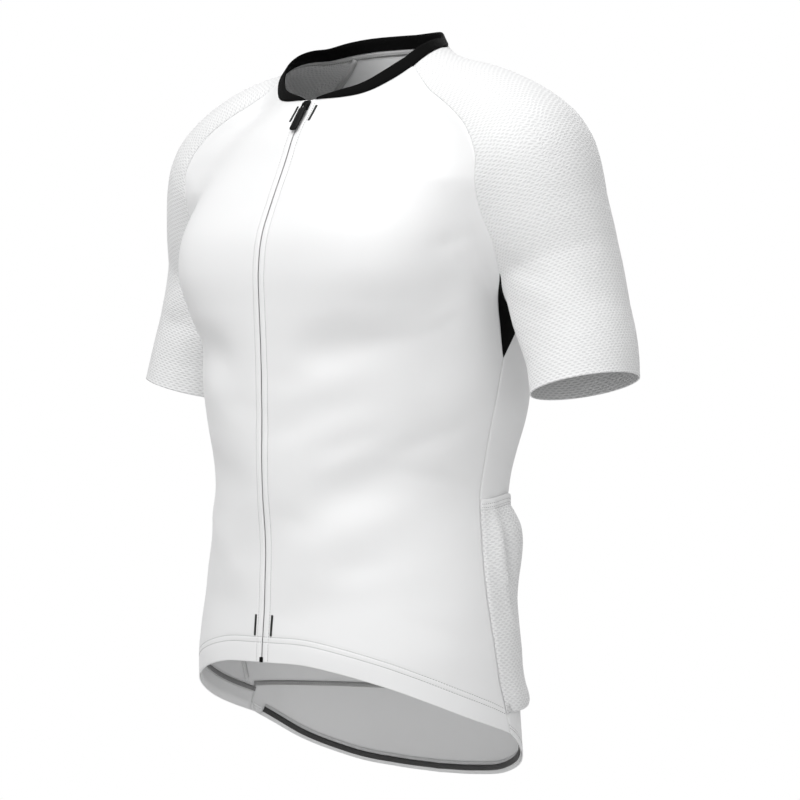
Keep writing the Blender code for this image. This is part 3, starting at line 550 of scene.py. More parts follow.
def flat_cut(grid, rounds=900):
    """The panel laid flat with its threads at their own lengths: metres across and up."""
    flat = np.zeros((*grid.shape[:2], 2))
    flat[:, 1:, 0] = np.cumsum(np.linalg.norm(np.diff(grid, axis=1), axis=2), axis=1)
    flat[1:, :, 1] = np.cumsum(np.linalg.norm(np.diff(grid, axis=0), axis=2), axis=0)
    middle = grid.shape[1] // 2
    flat[:, :, 0] -= flat[:, middle:middle + 1, 0]
    ends = [(np.s_[:, :-1], np.s_[:, 1:]), (np.s_[:-1, :], np.s_[1:, :]),
            (np.s_[:-1, :-1], np.s_[1:, 1:]), (np.s_[1:, :-1], np.s_[:-1, 1:])]
    rest = [np.linalg.norm(grid[b] - grid[a], axis=2, keepdims=True) for a, b in ends]
    for _ in range(rounds):
        move = np.zeros_like(flat)
        for (a, b), length in zip(ends, rest):
            gap = flat[b] - flat[a]
            far = np.linalg.norm(gap, axis=2, keepdims=True) + 1e-9
            pull = gap * (1 - length / far) / 2
            move[a] += pull
            move[b] -= pull
        flat += move * 0.3
    return flat


def cut_area(flat):
    a, b, c, d = flat[:-1, :-1], flat[:-1, 1:], flat[1:, 1:], flat[1:, :-1]
    first, second = c - a, d - b
    return float(np.abs(first[..., 0] * second[..., 1] - first[..., 1] * second[..., 0]).sum() / 2)


def cut_size(flat):
    low, high = flat.reshape(-1, 2).min(axis=0), flat.reshape(-1, 2).max(axis=0)
    return tuple(float(v) for v in high - low)


front_coarse = panel(coarse["hem_front"], coarse["neck_front"], coarse["zip"],
                     coarse["front_edge"])
front_fine = refined(front_coarse, fine["hem_front"], fine["neck_front"], fine["zip"],
                     fine["front_edge"])
front_cut = flat_cut(front_coarse)
print("a front is cut", [round(v, 3) for v in cut_size(front_cut)], "m,",
      round(cut_area(front_cut), 4), "m2")

# %% Back, in one piece from the tail to the neck
back_low = panel(whole(coarse["hem_back"]), whole(coarse["pocket_foot"]), coarse["side_low"],
                 mirrored(coarse["side_low"]), 30)
back_high = panel(whole(coarse["pocket_foot"]), whole(coarse["neck_back"]),
                  coarse["back_edge"], mirrored(coarse["back_edge"]), 90)
back_coarse = np.vstack([back_low, back_high[1:]])
back_edge = np.vstack([fine["side_low"], fine["back_edge"][1:]])
back_fine = refined(back_coarse, whole(fine["hem_back"]), whole(fine["neck_back"]), back_edge,
                    mirrored(back_edge))
back_cut = flat_cut(back_coarse)
print("the back is cut", [round(v, 3) for v in cut_size(back_cut)], "m")

# %% Sleeve rings, from the cuff to the armhole
CUFF_CENTRE = np.array([0.2615, 0.0235, -0.3085])
CUFF_TILT_OUT = math.radians(14.6)
CUFF_TILT_BACK = math.radians(-2.4)
CUFF_CROWD = 0.5            # how much closer the columns stand on the arm's outer side
CUFF_START = 0.05           # radius of the ring that then settles onto the skin


def axis_frame(along):
    """The sleeve's centre line at these places, with its outer and back directions."""
    index = np.arange(len(SLEEVE_LINE))
    middle, run = (points_at(along, index, values)
                   for values in (SLEEVE_LINE, np.gradient(SLEEVE_LINE, axis=0)))
    outward = unit(np.cross(run, [0.0, 1.0, 0.0]))
    return middle, run, outward, unit(np.cross(outward, run))


def axis_place(points):
    """Where points lie about the centre line: how far along, turn and radius."""
    along = np.argmin(np.linalg.norm(points[:, None] - SLEEVE_LINE[None], axis=2), axis=1)
    for _ in range(6):
        middle, run, outward, back = axis_frame(along)
        offset = points - middle
        along = np.maximum(along + np.sum(offset * run, axis=1) / np.sum(run * run, axis=1), 0)
    up = np.sum(offset * outward, axis=1)
    rear = np.sum(offset * back, axis=1)
    return along, np.arctan2(rear, up), np.hypot(rear, up)


def sleeve_grid(lines, times):
    """Rings round the arm that pass from a flat cuff to the loop of armhole seams."""
    half_top = GUSSET_CELLS * times // 2
    top = lines["gusset_top"]
    loop = np.vstack([top[half_top:0:-1], lines["raglan_front"][:-1], lines["neck_side"][:-1],
                      lines["raglan_back"][:0:-1], top[:half_top - 1:-1]])
    turns = -np.pi + 2 * np.pi * np.linspace(0.0, 1.0, len(loop))
    turns -= CUFF_CROWD * np.sin(turns)
    out_dir = np.array([math.cos(CUFF_TILT_OUT), 0.0, math.sin(CUFF_TILT_OUT)])
    back_dir = np.array([0.0, math.cos(CUFF_TILT_BACK), math.sin(CUFF_TILT_BACK)])
    mouth = np.cross(out_dir, back_dir)
    cuff = CUFF_CENTRE + CUFF_START * (np.cos(turns)[:, None] * out_dir
                                       + np.sin(turns)[:, None] * back_dir)
    for _ in range(6):
        cuff = settle(cuff, 2)
        cuff = cuff - ((cuff - CUFF_CENTRE) @ mouth)[:, None] * mouth
    first, _, cuff_reach = axis_place(cuff)
    last, turn, seam_reach = axis_place(loop)
    turn = np.unwrap(turn)
    turn += 2 * np.pi * round((np.mean(turns) - np.mean(turn)) / (2 * np.pi))
    rings = [cuff]
    for step in np.linspace(0.0, 1.0, SLEEVE_CELLS * times + 1)[1:-1]:
        middle, _, outward, back = axis_frame(first + (last - first) * step)
        bend = (turns * (1 - step) + turn * step)[:, None]
        reach = (cuff_reach * (1 - step) + seam_reach * step)[:, None]
        rings.append(settle(middle + reach * (np.cos(bend) * outward + np.sin(bend) * back)))
    rings.append(loop)
    rings = np.stack(rings)
    rings[:, -1] = rings[:, 0]
    return rings


sleeve_coarse = sleeve_grid(coarse, 1)
sleeve_fine = sleeve_grid(fine, FINE)
sleeve_cut = flat_cut(sleeve_coarse, 700)
print("a sleeve is cut", [round(v, 3) for v in cut_size(sleeve_cut)], "m")

# %% Gusset, a small triangle of cloth
def gusset_grid(lines, times, rounds):
    tip = np.repeat(lines["side"][-1][None], GUSSET_CELLS * times + 1, axis=0)
    return panel(tip, lines["gusset_top"], lines["gusset_front"], lines["gusset_back"], rounds)


gusset_coarse = gusset_grid(coarse, 1, 20)
gusset_fine = gusset_grid(fine, FINE, 60)
gusset_cut = flat_cut(gusset_coarse)
print("a gusset is cut", [round(v, 3) for v in cut_size(gusset_cut)], "m")

# %% [markdown]
# ## Writing finishes as arithmetic
#
# A fabric is mostly a repeat: dimples, ribs or loops at a known spacing.  Such a
# repeat is easiest to read as a formula, so a small class lets node sockets be added
# and multiplied like numbers, and each sum becomes a Math node.  The repeats are
# drawn on the flat cut, in metres, so they keep their real size and bend with the
# cloth.  Only colour, roughness and the bump vary; sheen is a plain number, since a
# fabric has the same nap all over.

# %% Signals and finishes
class Signal:
    """A socket's value in a sum.  Each operation adds one Math node."""

    def __init__(self, finish, socket):
        self.finish = finish
        self.socket = socket

    def maths(self, operation, *values):
        return self.finish.node("ShaderNodeMath", {"operation": operation},
                                dict(enumerate(values)))

    def __add__(self, other):
        return self.maths("ADD", self, other)

    def __sub__(self, other):
        return self.maths("SUBTRACT", self, other)

    def __rsub__(self, other):
        return self.maths("SUBTRACT", other, self)

    def __mul__(self, other):
        return self.maths("MULTIPLY", self, other)

    def __truediv__(self, other):
        return self.maths("DIVIDE", self, other)

    def frac(self):
        return self.maths("FRACT", self)

    def size(self):
        return self.maths("ABSOLUTE", self)

    def least(self, other):
        return self.maths("MINIMUM", self, other)

    def most(self, other):
        return self.maths("MAXIMUM", self, other)

    def wave(self):
        """A sine of the value in turns."""
        return self.maths("SINE", self * (2 * math.pi))


class Finish:
    """A material being built: one Principled shader and the signals that feed it."""

    def __init__(self, name, roughness, **constants):
        self.material = bpy.data.materials.new(name)
        self.material.use_nodes = True
        self.tree = self.material.node_tree
        self.shader = self.tree.nodes["Principled BSDF"]
        self.shader.inputs["Roughness"].default_value = roughness
        for socket, value in constants.items():
            self.shader.inputs[socket.replace("_", " ")].default_value = value

    def node(self, kind, settings=None, inputs=None, output=0):
        made = self.tree.nodes.new(kind)
        for key, value in (settings or {}).items():
            setattr(made, key, value)
        for key, value in (inputs or {}).items():
            if isinstance(value, Signal):
                self.tree.links.new(value.socket, made.inputs[key])
            else:
                made.inputs[key].default_value = value
        return Signal(self, made.outputs[output])

    def cut(self):
        """Across and up the flat cut, in metres."""
        place = self.node("ShaderNodeUVMap", {"uv_map": "cut"})
        return (self.node("ShaderNodeSeparateXYZ", None, {0: place}, 0),
                self.node("ShaderNodeSeparateXYZ", None, {0: place}, 1))

    def noise(self, scale, detail=2.0):
        place = self.node("ShaderNodeTexCoord", output="Object")
        return self.node("ShaderNodeTexNoise", None,
                         {"Vector": place, "Scale": scale, "Detail": detail})

    def blend(self, amount, first, second):
        """A colour between two colours."""
        return self.node("ShaderNodeMix", {"data_type": "RGBA"},
                         {0: amount, 6: first, 7: second}, 2)

    def feed(self, socket, value):
        self.tree.links.new(value.socket, self.shader.inputs[socket])

    def raise_by(self, height, strength, distance):
        """Bump from a height signal, distance in metres."""
        bump = self.node("ShaderNodeBump", None,
                         {"Strength": strength, "Distance": distance, "Height": height})
        self.feed("Normal", bump)


def grey(level, tint=0.0):
    """A nearly neutral colour; a little tint makes it cooler."""
    return (level - tint, level, level + tint, 1.0)


print("signals ready")

# %% [markdown]
# ## Knits
#
# The fronts and back are a smooth, tight knit: at arm's length only a faint grain
# and a silky sheen.  Sleeves and pockets are an airy knit with a staggered grid of
# small dimples, seven millimetres apart along a row, with the rows about two
# millimetres apart.  Each dimple is a flat oval.  Modelling forty thousand of them
# would only slow the render, so a bump and a painted shade, a darker tone in each
# dimple, draw them.  Turned over, the same cloths are duller and greyer, so each has
# an inner finish as well; its grey is partly the reverse's own tone and partly
# painted shade for the dim inside of the garment.

# %% Smooth knit
def smooth_knit(name, level, sheen=0.25, loop=0.0011):
    """Tiny V loops in columns over a slow change of tone."""
    finish = Finish(name, 0.5, Sheen_Weight=sheen, Sheen_Roughness=0.45,
                    Specular_IOR_Level=0.35)
    across, up = finish.cut()
    column = (across / loop).frac() - 0.5
    leg = column.size() * 1.4
    row = (up / (loop * 0.8) + leg).wave()
    height = row * 0.5 + (1 - (column.size() * 2.0)) * 0.5
    slow = finish.noise(9.0)
    tone = finish.blend(slow, grey(level * 0.975, 0.002), grey(level * 1.01, 0.002))
    finish.feed("Base Color", finish.blend(height * 0.06 + 0.03, tone, grey(level * 0.80)))
    finish.feed("Roughness", slow * 0.10 + 0.46)
    finish.raise_by(height, 0.35, 0.00012)
    return finish.material


WHITE_KNIT = smooth_knit("white_knit", 0.86)
# partly painted shade: the reverse is greyer than the face, for its duller back and for the dim
# inside of the garment
WHITE_REVERSE_SHADED = smooth_knit("white_knit_reverse_shaded", 0.80, 0.12, 0.0013)
print("made", WHITE_KNIT.name, WHITE_REVERSE_SHADED.name)

# %% Dimpled mesh
DIMPLE_ACROSS = 0.0068
DIMPLE_UP = 0.0047


def dimpled_knit(name, level, pit_shade):
    """Flat oval dimples, every second row half a step along, with a painted shade in each."""
    finish = Finish(name, 0.58, Sheen_Weight=0.2, Sheen_Roughness=0.5,
                    Specular_IOR_Level=0.3)
    across, up = finish.cut()
    sway = finish.noise(14.0, 1.0) - 0.5
    u = across / DIMPLE_ACROSS + sway * 0.10
    v = up / DIMPLE_UP + sway * 0.08

    def ovals(shift):
        du = ((u + shift).frac() - 0.5) * (DIMPLE_ACROSS / 0.0027)
        dv = ((v + shift).frac() - 0.5) * (DIMPLE_UP / 0.00095)
        return (1 - (du * du + dv * dv)).most(0.0)

    dimples = ovals(0.0) + ovals(0.5)
    soft = (dimples * 1.4).least(1.0)
    slow = finish.noise(7.0)
    tone = finish.blend(slow, grey(level * 0.97, 0.002), grey(level * 1.01, 0.002))
    # painted shade: each dimple's colour is pulled towards a darker grey that stands in for the
    # shade inside it
    finish.feed("Base Color", finish.blend(soft * 0.75, tone, grey(pit_shade, 0.002)))
    finish.feed("Roughness", soft * 0.15 + 0.56)
    grain = (across / 0.0009).wave() * (up / 0.0008).wave()
    finish.raise_by(grain * 0.06 - soft, 0.6, 0.00045)
    return finish.material


WHITE_MESH = dimpled_knit("white_mesh", 0.84, 0.68)
# partly painted shade: the mesh's reverse is greyer than its face, for its duller back and for the
# dim inside of the garment
MESH_REVERSE_SHADED = dimpled_knit("white_mesh_reverse_shaded", 0.66, 0.50)
print("dimples every", DIMPLE_ACROSS * 1000, "by", DIMPLE_UP * 500, "mm")

# %% Black knit, elastic, threads and tape
def ribbed_knit(name, level, rib, sheen, gloss=0.3):
    """Fine ribs that run up the cut."""
    finish = Finish(name, 0.62, Sheen_Weight=sheen, Sheen_Roughness=0.5,
                    Specular_IOR_Level=gloss)
    across, up = finish.cut()
    ribs = (across / rib).wave()
    loops = (up / (rib * 0.7)).wave()
    height = ribs * 0.7 + loops * 0.3
    slow = finish.noise(30.0)
    tone = finish.blend(slow, grey(level * 0.8), grey(level * 1.25))
    finish.feed("Base Color", finish.blend(height * 0.25 + 0.25, tone, grey(level * 0.5)))
    finish.feed("Roughness", slow * 0.12 + 0.55)
    finish.raise_by(height, 0.5, 0.00016)
    return finish.material


BLACK_KNIT = ribbed_knit("black_knit", 0.004, 0.0011, 0.0, 0.03)
GREY_ELASTIC = ribbed_knit("grey_elastic", 0.055, 0.0016, 0.1)
WHITE_TAPE = ribbed_knit("white_tape", 0.74, 0.0012, 0.1)
OVERLOCK = ribbed_knit("overlock_grey", 0.24, 0.0022, 0.1)
SEAM_TAPE = ribbed_knit("seam_tape", 0.38, 0.0018, 0.1)
PALE_TAPE = ribbed_knit("pale_tape", 0.72, 0.0014, 0.1)
NECK_TAPE = ribbed_knit("neck_tape", 0.50, 0.0014, 0.1)


def thread(name, level):
    """Twisted sewing thread."""
    finish = Finish(name, 0.5, Sheen_Weight=0.2, Specular_IOR_Level=0.4)
    twist = finish.noise(2500.0, 1.0)
    finish.feed("Base Color", finish.blend(twist, grey(level * 0.82), grey(level * 1.1)))
    finish.raise_by(twist, 0.3, 0.00005)
    return finish.material


GREY_THREAD = thread("grey_thread", 0.18)
PALE_THREAD = thread("pale_thread", 0.62)
BLACK_THREAD = thread("black_thread", 0.004)
print("knits, tapes and threads made")

# %% Moulded plastic
def moulded(name, level, roughness):
    """Fine spark-eroded grain, a little smoother in patches where fingers rub."""
    finish = Finish(name, roughness, Specular_IOR_Level=0.12)
    grain = finish.noise(2600.0)
    rubbed = finish.noise(120.0)
    finish.feed("Base Color", finish.blend(rubbed, grey(level * 0.8), grey(level * 1.4)))
    finish.feed("Roughness", rubbed * 0.16 + (roughness - 0.08))
    finish.raise_by(grain, 0.25, 0.00006)
    return finish.material


BLACK_PLASTIC = moulded("black_plastic", 0.004, 0.36)
COIL_PLASTIC = moulded("coil_grey", 0.07, 0.42)

# %% [markdown]
# ## From a net of points to cloth
#
# A grid from Blender's own operator gives the threads of a panel; its points are
# moved onto the skin, and its map becomes the flat cut.  The thickness comes from a
# Solidify modifier that grows inwards, with the fabric's reverse on the inner face,
# its grey partly the reverse's own tone and partly painted shade.
# Near a seam or a row of stitches the net needs extra rows, because a stitched
# channel is only a millimetre wide.

# %% Grid, cloth and piece helpers
CLOTH = 0.0012


def grid_mesh(points, cut, closed=False):
    """A bmesh grid with these points and flat map; closed joins rim points that meet."""
    rows, cols = points.shape[:2]
    bm = bmesh.new()
    bm.loops.layers.uv.new("cut")
    bmesh.ops.create_grid(bm, x_segments=cols - 1, y_segments=rows - 1, size=0.5, calc_uvs=True)
    mesh = bpy.data.meshes.new("net")
    bm.to_mesh(mesh)
    place = np.empty(len(mesh.vertices) * 3)
    mesh.vertices.foreach_get("co", place)
    place = place.reshape(-1, 3) + 0.5
    col = np.rint(place[:, 0] * (cols - 1)).astype(int)
    row = np.rint(place[:, 1] * (rows - 1)).astype(int)
    mesh.vertices.foreach_set("co", points[row, col].ravel())
    corner = np.empty(len(mesh.loops), dtype=np.int32)
    mesh.loops.foreach_get("vertex_index", corner)
    mesh.uv_layers["cut"].data.foreach_set("uv", cut[row[corner], col[corner]].ravel())
    bm.clear()
    bm.from_mesh(mesh)
    bpy.data.meshes.remove(mesh)
    if closed:
        rim = [vert for vert in bm.verts if vert.is_boundary]
        bmesh.ops.remove_doubles(bm, verts=rim, dist=0.000001)
    return bm


def as_mesh(name, bm):
    """A named mesh made from a bmesh, which is then freed."""
    mesh = bpy.data.meshes.new(name)
    bm.to_mesh(mesh)
    bm.free()
    return mesh


def piece(name, bm, finishes, body="jersey"):
    """A finished object that rides on a body, smooth where it curves."""
    mesh = as_mesh(name, bm)
    for finish in finishes:
        mesh.materials.append(finish)
    mesh.shade_smooth()
    mesh.set_sharp_from_angle(angle=math.radians(42.0))
    made = in_scene(name, mesh)
    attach(made, body)
    return made


def turn_out(bm):
    """Make the faces look the way the skin does at the middle one."""
    bm.faces.ensure_lookup_table()
    bm.normal_update()
    sample = bm.faces[len(bm.faces) // 2]
    if sample.normal.dot(Vector(normal(np.array([sample.calc_center_median()]))[0])) < 0:
        bmesh.ops.reverse_faces(bm, faces=bm.faces)


def cloth(name, points, cut, finishes, thick=CLOTH, closed=False):
    """A sheet of cloth whose outer face is the grid of points."""
    bm = grid_mesh(points, cut, closed)
    turn_out(bm)
    made = piece(name, bm, finishes)
    wall = made.modifiers.new("thickness", "SOLIDIFY")
    wall.thickness = thick
    wall.offset = -1.0
    wall.use_quality_normals = True
    # the inner face takes the second finish, whose darker tone is partly painted shade
    if len(finishes) > 1:
        wall.material_offset = 1
    return made


FAR = 9.0                   # metres: no seam's or hem's shape reaches so far


def lay_out(grid, cut, axis, first=(0.0,), last=(0.0,)):
    """Lines at fixed distances from the first and last edge, and even ones between."""
    lines, flats = np.moveaxis(grid, axis, 0), np.moveaxis(cut, axis, 0)
    first, last = np.array(first), np.array(last)
    cells = len(lines) - 1
    new_lines, new_flats = [], []
    for k in range(lines.shape[1]):
        line = lines[:, k]
        length = line_length(line)
        middle = np.linspace(first[-1], length[-1] - last[-1], cells + 1)
        places = np.concatenate([first[:-1], middle, length[-1] - last[-2::-1]])
        new_lines.append(points_at(places, length, line))
        new_flats.append(points_at(places, length, flats[:, k]))
    from_first = np.concatenate([first[:-1], np.full(cells + len(last), FAR)])
    from_last = np.concatenate([last[:-1], np.full(cells + len(first), FAR)])[::-1]
    if len(first) > 1:
        from_first[len(first) - 1] = first[-1]
    if len(last) > 1:
        from_last[-len(last)] = last[-1]
    return (np.moveaxis(np.stack(new_lines, 1), 0, axis),
            np.moveaxis(np.stack(new_flats, 1), 0, axis), from_first, from_last)


def near(distance, at, width):
    """A soft bump at one distance."""
    return np.exp(-((distance - at) / width) ** 2)


def twin_channels(distance, rows):
    """A soft bump at each of two rows of stitches."""
    return near(distance, rows[0], 0.0006) + near(distance, rows[1], 0.0006)


def lined(row, steps=(-0.0012, -0.0005, 0.0, 0.0005, 0.0012)):
    """Net lines at and beside a row of stitches, to draw its channel."""
    return [row + step for step in steps]


def with_relief(net, relief):
    """The outer face of a net: the cloth's folds, and a relief out from them."""
    return folded(net) + normal(net) * relief


def strip_map(along, up):
    """The flat map of a straight strip."""
    return np.stack(np.broadcast_arrays(along[None, :], up[:, None]), axis=2)


ZIP_ROW = 0.0075            # topstitch beside the zip
ZIP_CHANNEL = 0.00035       # how deep its row lies
ZIP_FOLD = 0.00025          # the folded edge stands so much proud
ZIP_EDGE = 0.00050          # and rounds off by so much at the slit
HEM_ROWS = (0.0185, 0.0235)     # twin needle rows above the front hem
HEM_CHANNEL, HEM_FOLD = 0.00022, 0.00015
TAIL_ROWS = (0.0060, 0.0090)    # twin needle rows above the back hem
TAIL_CHANNEL, TAIL_FOLD = 0.00035, 0.00025
SEAM_SIDE = (0.0, 0.0007, 0.0015, 0.0028)   # net lines beside a seam
SEAM_DIP = 0.00060          # the cloth dips so far into a seam
SEAM_WIDTH = 0.0011
ZIP_SLIT = 0.0005           # a front's edge stops this far from the middle
print("helpers ready")

# %% [markdown]
# ## The two fronts
#
# A front runs from the zip round to the side seam.  At the zip its edge is folded
# back and topstitched, and at the foot it is turned up by twenty-four millimetres
# with a twin needle, which leaves two fine channels.  At the side, gusset and raglan
# seams the cloth dips into the joint.  Both fronts share the form, but their fine
# creases differ.

# %% Front panels
zip_near = [0.0, 0.0012, 0.0035, *lined(ZIP_ROW), 0.0110, 0.0140]
hem_near = [0.0, 0.0009, 0.0050, 0.0120, *lined(HEM_ROWS[0]), *lined(HEM_ROWS[1]), 0.0280]
front_net, front_map, from_zip, from_side = lay_out(front_fine, finer(front_cut), 1,
                                                    zip_near, SEAM_SIDE)
front_net, front_map, from_hem, _ = lay_out(front_net, front_map, 0, hem_near)
front_net = settle(front_net, 1)
front_net[:, 0, 0] = ZIP_SLIT
front_relief = (
    -ZIP_CHANNEL * near(from_zip, ZIP_ROW, 0.0007)[None, :]
    + ZIP_FOLD * (from_zip < ZIP_ROW)[None, :]
    - ZIP_EDGE * near(from_zip, 0.0, 0.0008)[None, :]
    - SEAM_DIP * near(from_side, 0.0, SEAM_WIDTH)[None, :]
    - HEM_CHANNEL * twin_channels(from_hem, HEM_ROWS)[:, None]
    + HEM_FOLD * (from_hem < HEM_ROWS[1])[:, None])
fronts, front_faces = {}, {}
for side, word in SIDES:
    face = with_relief(on_side(front_net, side), front_relief[..., None])
    face[:, 0, 0] = ZIP_SLIT * side
    front_faces[side] = face
    fronts[side] = cloth(f"front_{word}_cloth", face, front_map * np.array([side, 1]),
                         [WHITE_KNIT, WHITE_REVERSE_SHADED])
    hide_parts(f"front_{word}")
print("front net:", front_net.shape[:2], "points")

# %% [markdown]
# ## Back, sleeves and gussets
#
# The back is one piece from neck to tail, longer than the fronts so that it covers
# a rider who leans forward.  Raglan sleeves run up to the neck in one piece and end
# in a clean raw cuff, possible because warp knits don't fray.  Small black gussets
# under the arms keep the armhole from pulling.

# %% Back panel
BESIDE_TAIL = (-0.0006, 0.0, 0.0006)
tail_near = [0.0, 0.0009, 0.0035, *lined(TAIL_ROWS[0], BESIDE_TAIL),
             *lined(TAIL_ROWS[1], BESIDE_TAIL), 0.0115]
back_net, back_map, from_left, from_right = lay_out(back_fine, finer(back_cut), 1,
                                                    SEAM_SIDE, SEAM_SIDE)
back_net, back_map, from_tail, _ = lay_out(back_net, back_map, 0, tail_near)
back_net = settle(back_net, 1)
back_relief = (
    -SEAM_DIP * (near(from_left, 0.0, SEAM_WIDTH) + near(from_right, 0.0, SEAM_WIDTH))[None, :]
    - TAIL_CHANNEL * twin_channels(from_tail, TAIL_ROWS)[:, None]
    + TAIL_FOLD * (from_tail < TAIL_ROWS[1])[:, None])
back_face = with_relief(back_net, back_relief[..., None])
back = cloth("back_cloth", back_face, back_map, [WHITE_KNIT, WHITE_REVERSE_SHADED])
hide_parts("back")
print("back net:", back_net.shape[:2], "points")

# %% Sleeves
sleeve_net, sleeve_map, from_cuff, from_armhole = lay_out(
    sleeve_fine, finer(sleeve_cut), 0, (0.0, 0.0010, 0.0030), SEAM_SIDE)
sleeve_net = settle(sleeve_net, 1)
sleeve_net[:, -1] = sleeve_net[:, 0]
sleeve_relief = (-SEAM_DIP * near(from_armhole, 0.0, SEAM_WIDTH)
                 + 0.00020 * near(from_cuff, 0.0, 0.0014))[:, None, None]
for side, word in SIDES:
    face = with_relief(on_side(sleeve_net, side), sleeve_relief)
    face[:, -1] = face[:, 0]
    cloth(f"sleeve_{word}_cloth", face, sleeve_map * np.array([side, 1]),
                          [WHITE_MESH, MESH_REVERSE_SHADED], closed=True)
    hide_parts(f"sleeve_{word}")
print("sleeve net:", sleeve_net.shape[:2], "points")

# %% Gussets, whose lowest row of points closes to one
gusset_map = finer(gusset_cut)
for side, word in SIDES:
    face = with_relief(on_side(gusset_fine, side), -0.0001)
    cloth(f"gusset_{word}_cloth", face, gusset_map * np.array([side, 1]),
                          [BLACK_KNIT], closed=True)
    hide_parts(f"gusset_{word}")
print("gusset net:", gusset_fine.shape[:2], "points")

# %% [markdown]
# ## Collar
#
# The collar is a low black band of doubled knit, folded at its upper edge.  It is
# ten millimetres tall at the nape, fourteen in front of the shoulders, and shrinks to
# almost nothing beside the zip, so that nothing stiff touches the throat.  Its section
# is a small closed loop, and the same loop is carried along the neck seam.  The inner
# layer goes a little lower than the outer one and covers the seam allowance.

# %% Collar band
COLLAR_FRONT = 0.0140
COLLAR_NAPE = 0.0100
COLLAR_TIP = 0.0016
COLLAR_TAPER = 0.033
COLLAR_START = 0.0085       # the band's ends stop this far from the zip
COLLAR_GAP = 0.0002         # between the band's foot and the panels' edge
COLLAR_SECTION = np.array([
    # share of the height, below the seam (m), out from the skin (m)
    (0.00, 0.0000, 0.0005),
    (0.06, 0.0000, 0.0011),
    (0.30, 0.0000, 0.0013),
    (0.62, 0.0000, 0.0013),
    (0.88, 0.0000, 0.0011),
    (0.98, 0.0000, 0.0006),
    (1.02, 0.0000, -0.0002),
    (0.98, 0.0000, -0.0010),
    (0.88, 0.0000, -0.0015),
    (0.50, 0.0000, -0.0017),
    (0.10, 0.0000, -0.0017),
    (0.00, 0.0030, -0.0022),
    (0.00, 0.0031, -0.0016),
    (0.00, -0.0001, -0.0014),
    (0.00, 0.0000, 0.0005),
])


def sideways(line, towards=(0.0, 0.0, 1.0)):
    """Directions along the skin at right angles to a line, on the named side."""
    across = unit(np.cross(np.gradient(line, axis=0), normal(line)))
    return across * np.sign(np.sum(across @ np.array(towards)))


half_neck = np.vstack([fine["neck_front"][1:], fine["neck_side"][1:], fine["neck_back"][1:]])
half_neck = half_neck[(half_neck[:, 0] > COLLAR_START) | (half_neck[:, 1] > 0)]
neckline = whole(half_neck)
neck_rise = sideways(neckline)
neck_walk = line_length(neckline)
from_tip = np.minimum(neck_walk, neck_walk[-1] - neck_walk)
full_height = np.interp(neckline[:, 1], [-0.030, 0.030], [COLLAR_FRONT, COLLAR_NAPE])
band_height = COLLAR_TIP + (full_height - COLLAR_TIP) * (1 - np.exp(-from_tip / COLLAR_TAPER))
rows = []
for share, below, out in COLLAR_SECTION:
    reach = COLLAR_GAP + band_height * share - below
    skin = settle(neckline + neck_rise * reach[:, None], 3)
    rows.append(skin + normal(skin) * out)
walk_round = np.cumsum([0.0] + [np.linalg.norm(b - a, axis=1).mean()
                                for a, b in zip(rows[:-1], rows[1:])])
bm = grid_mesh(np.stack(rows), strip_map(neck_walk, walk_round), closed=True)
bmesh.ops.holes_fill(bm, edges=[edge for edge in bm.edges if edge.is_boundary], sides=20)
bmesh.ops.recalc_face_normals(bm, faces=bm.faces)
collar = piece("collar_band", bm, [BLACK_KNIT])
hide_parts("collar")
print("collar:", round(neck_walk[-1], 3), "m long")

# %% [markdown]
# ## Zip
#
# A coil zip lies behind the front edges, which almost meet over it, so only a thin
# grey line of coil shows.  Each half is a woven tape; the coil's links are one small
# rounded bar, repeated every 1.6 mm.  Repeats are cheap to make with an Array
# modifier, and their points are then set down along the zip's own curve.

# %% Copies of one small mesh along a line
def frame_along(line, facing):
    """Unit directions along a line, across it and out of the cloth."""
    run = unit(np.gradient(line, axis=0))
    out = unit(facing - np.sum(facing * run, axis=1)[:, None] * run)
    return run, np.cross(out, run), out


def set_along(one, places, run, across, out):
    """A mesh of copies of one small mesh: its x along the line, y across, z out."""
    count, corners = len(places), len(one.vertices)
    holder = in_scene("one", one)
    copies = holder.modifiers.new("copies", "ARRAY")
    copies.count = count
    copies.use_relative_offset = False
    copies.use_constant_offset = True
    copies.constant_offset_displace = (0.0, 0.0, 0.0)
    graph = bpy.context.evaluated_depsgraph_get()
    mesh = bpy.data.meshes.new_from_object(holder.evaluated_get(graph))
    bpy.data.objects.remove(holder)
    local = np.empty(len(mesh.vertices) * 3)
    mesh.vertices.foreach_get("co", local)
    local = local.reshape(count, corners, 3)
    put = (places[:, None] + local[..., :1] * run[:, None] + local[..., 1:2] * across[:, None]
           + local[..., 2:] * out[:, None])
    mesh.vertices.foreach_set("co", put.ravel())
    bm = bmesh.new()
    bm.from_mesh(mesh)
    bpy.data.meshes.remove(mesh)
    return bm


def rounded_bar(length, width, height, edge):
    """A small bar with softened edges."""
    bm = bmesh.new()
    bmesh.ops.create_cube(bm, size=1.0)
    bmesh.ops.scale(bm, vec=(length, width, height), verts=bm.verts)
    bmesh.ops.bevel(bm, geom=bm.edges, offset=edge, segments=1, profile=0.5, affect="EDGES",
                    material=-1)
    return as_mesh("bar", bm)


def loop_of_thread(length, width, height):
    """One stitch: a long, low bead of thread."""
    bm = bmesh.new()
    bmesh.ops.create_icosphere(bm, subdivisions=1, radius=0.5)
    bmesh.ops.scale(bm, vec=(length, width, height), verts=bm.verts)
    return as_mesh("stitch", bm)


def at_steps(line, step, bare):
    """Points at even steps along a line, leaving bare ends."""
    length = line_length(line)
    return points_at(np.arange(bare, length[-1] - bare, step), length, line)


print("copy tools ready")

# %% Zip tapes
ZIP_TAPE_HALF = 0.0130
ZIP_TAPE = 0.0006
LAY_GAP = 0.0003


def beside_zip(surface, reach):
    """Points of each row of the left front at a given distance from the centre."""
    return np.array([[np.interp(reach, row[:, 0], row[:, k]) for k in range(3)]
                     for row in surface])


